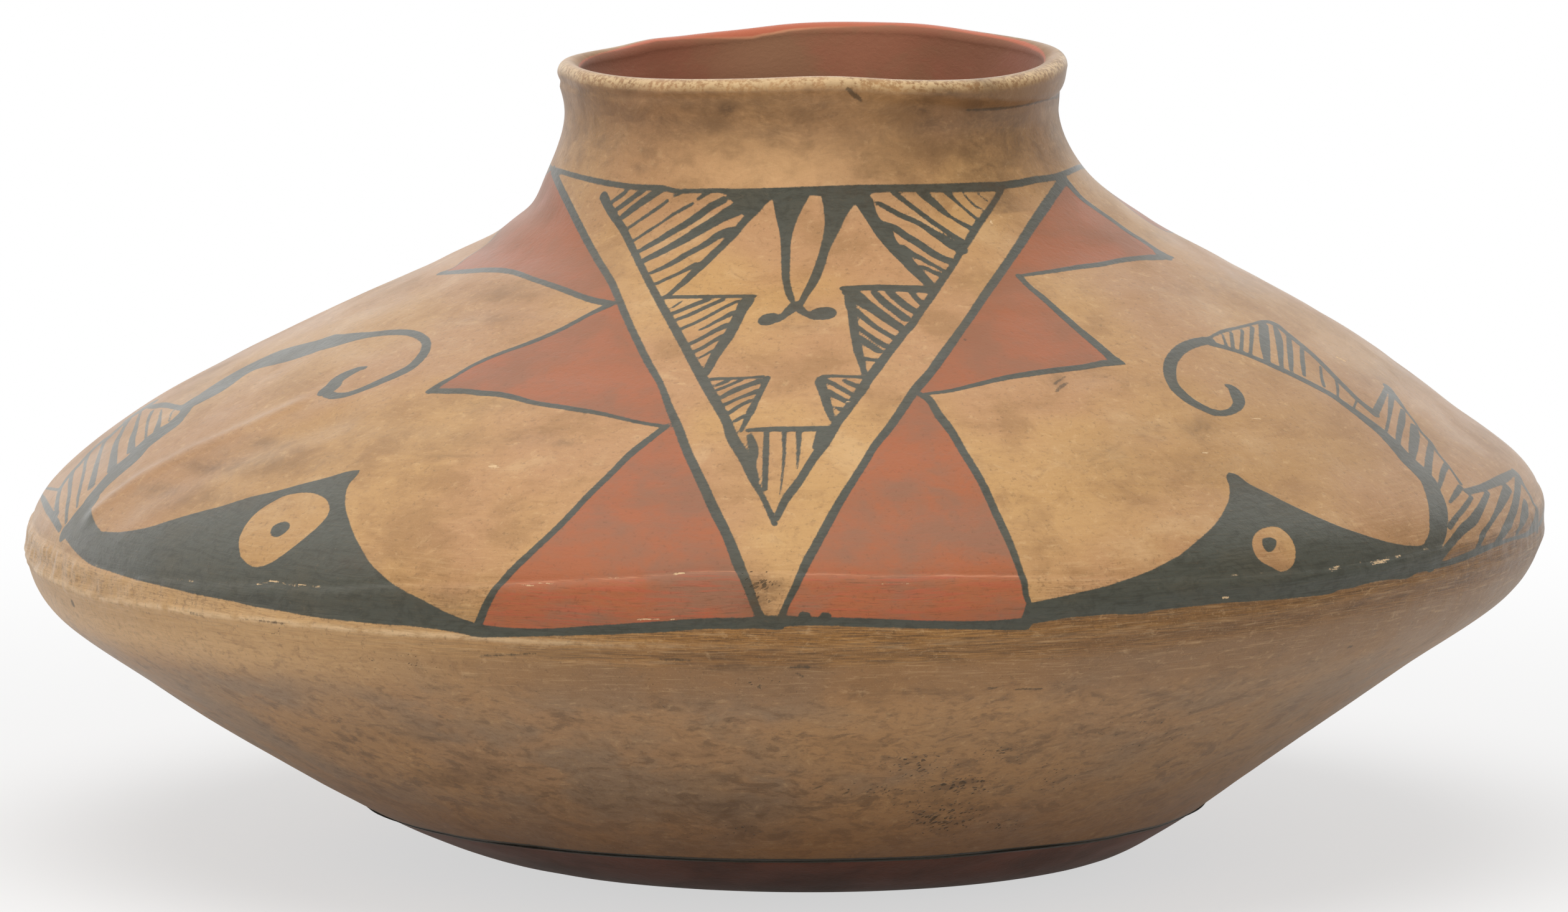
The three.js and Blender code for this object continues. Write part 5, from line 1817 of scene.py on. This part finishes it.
def floor():
    """A pale floor that fades into white away from the jar."""
    mesh = bpy.data.meshes.new("floor")
    corners = [(x * FLOOR_REACH, y * FLOOR_REACH, 0) for x, y in ((-1, -1), (1, -1), (1, 1), (-1, 1))]
    mesh.from_pydata(corners, [], [(0, 1, 2, 3)])
    thing = new_object("floor", mesh)
    material = bpy.data.materials.new("floor")
    n = Nodes(material)
    place_on = n.add("ShaderNodeNewGeometry").outputs["Position"]
    away = n.add("ShaderNodeVectorMath", {0: place_on}, operation="LENGTH").outputs["Value"]
    path = n.add("ShaderNodeLightPath")
    to_eye = n.times(path.outputs["Is Camera Ray"], n.step(away, *FADE_TO_EYE))
    to_sheen = n.times(path.outputs["Is Glossy Ray"], n.step(away, *FADE_TO_SHEEN))
    diffuse = n.add("ShaderNodeBsdfDiffuse", {"Color": FLOOR_COLOUR}).outputs[0]
    glow = n.add("ShaderNodeEmission", {"Color": WHITE, "Strength": 1.0}).outputs[0]
    white = n.math("MAXIMUM", to_eye, to_sheen)
    both = n.add("ShaderNodeMixShader", {0: white, 1: diffuse, 2: glow}).outputs[0]
    n.add("ShaderNodeOutputMaterial", {"Surface": both})
    mesh.materials.append(material)


def room():
    """A white room: even for soft light, and brightest behind the jar where the slip's sheen picks it up."""
    world = bpy.data.worlds.new("room")
    bpy.context.scene.world = world
    n = Nodes(world)
    path = n.add("ShaderNodeLightPath")
    way = n.add("ShaderNodeTexCoord").outputs["Generated"]
    toward = n.add("ShaderNodeVectorMath", {0: way, 1: SHEEN_FROM}, operation="DOT_PRODUCT").outputs["Value"]
    sheen = n.step(toward, *SHEEN_SPREAD, ROOM_SHEEN, BACK_SHEEN)
    glossy = path.outputs["Is Glossy Ray"]
    strength = n.plus(ROOM_LIGHT, n.times(glossy, n.plus(sheen, -ROOM_LIGHT)))
    seen = path.outputs["Is Camera Ray"]
    strength = n.plus(n.times(strength, n.math("SUBTRACT", 1.0, seen)), seen)
    sky = n.add("ShaderNodeBackground", {"Color": WHITE, "Strength": strength}).outputs[0]
    n.add("ShaderNodeOutputWorld", {"Surface": sky})


jar()
camera()
floor()
room()
lamp()

bpy.context.scene.view_settings.view_transform = "Standard"
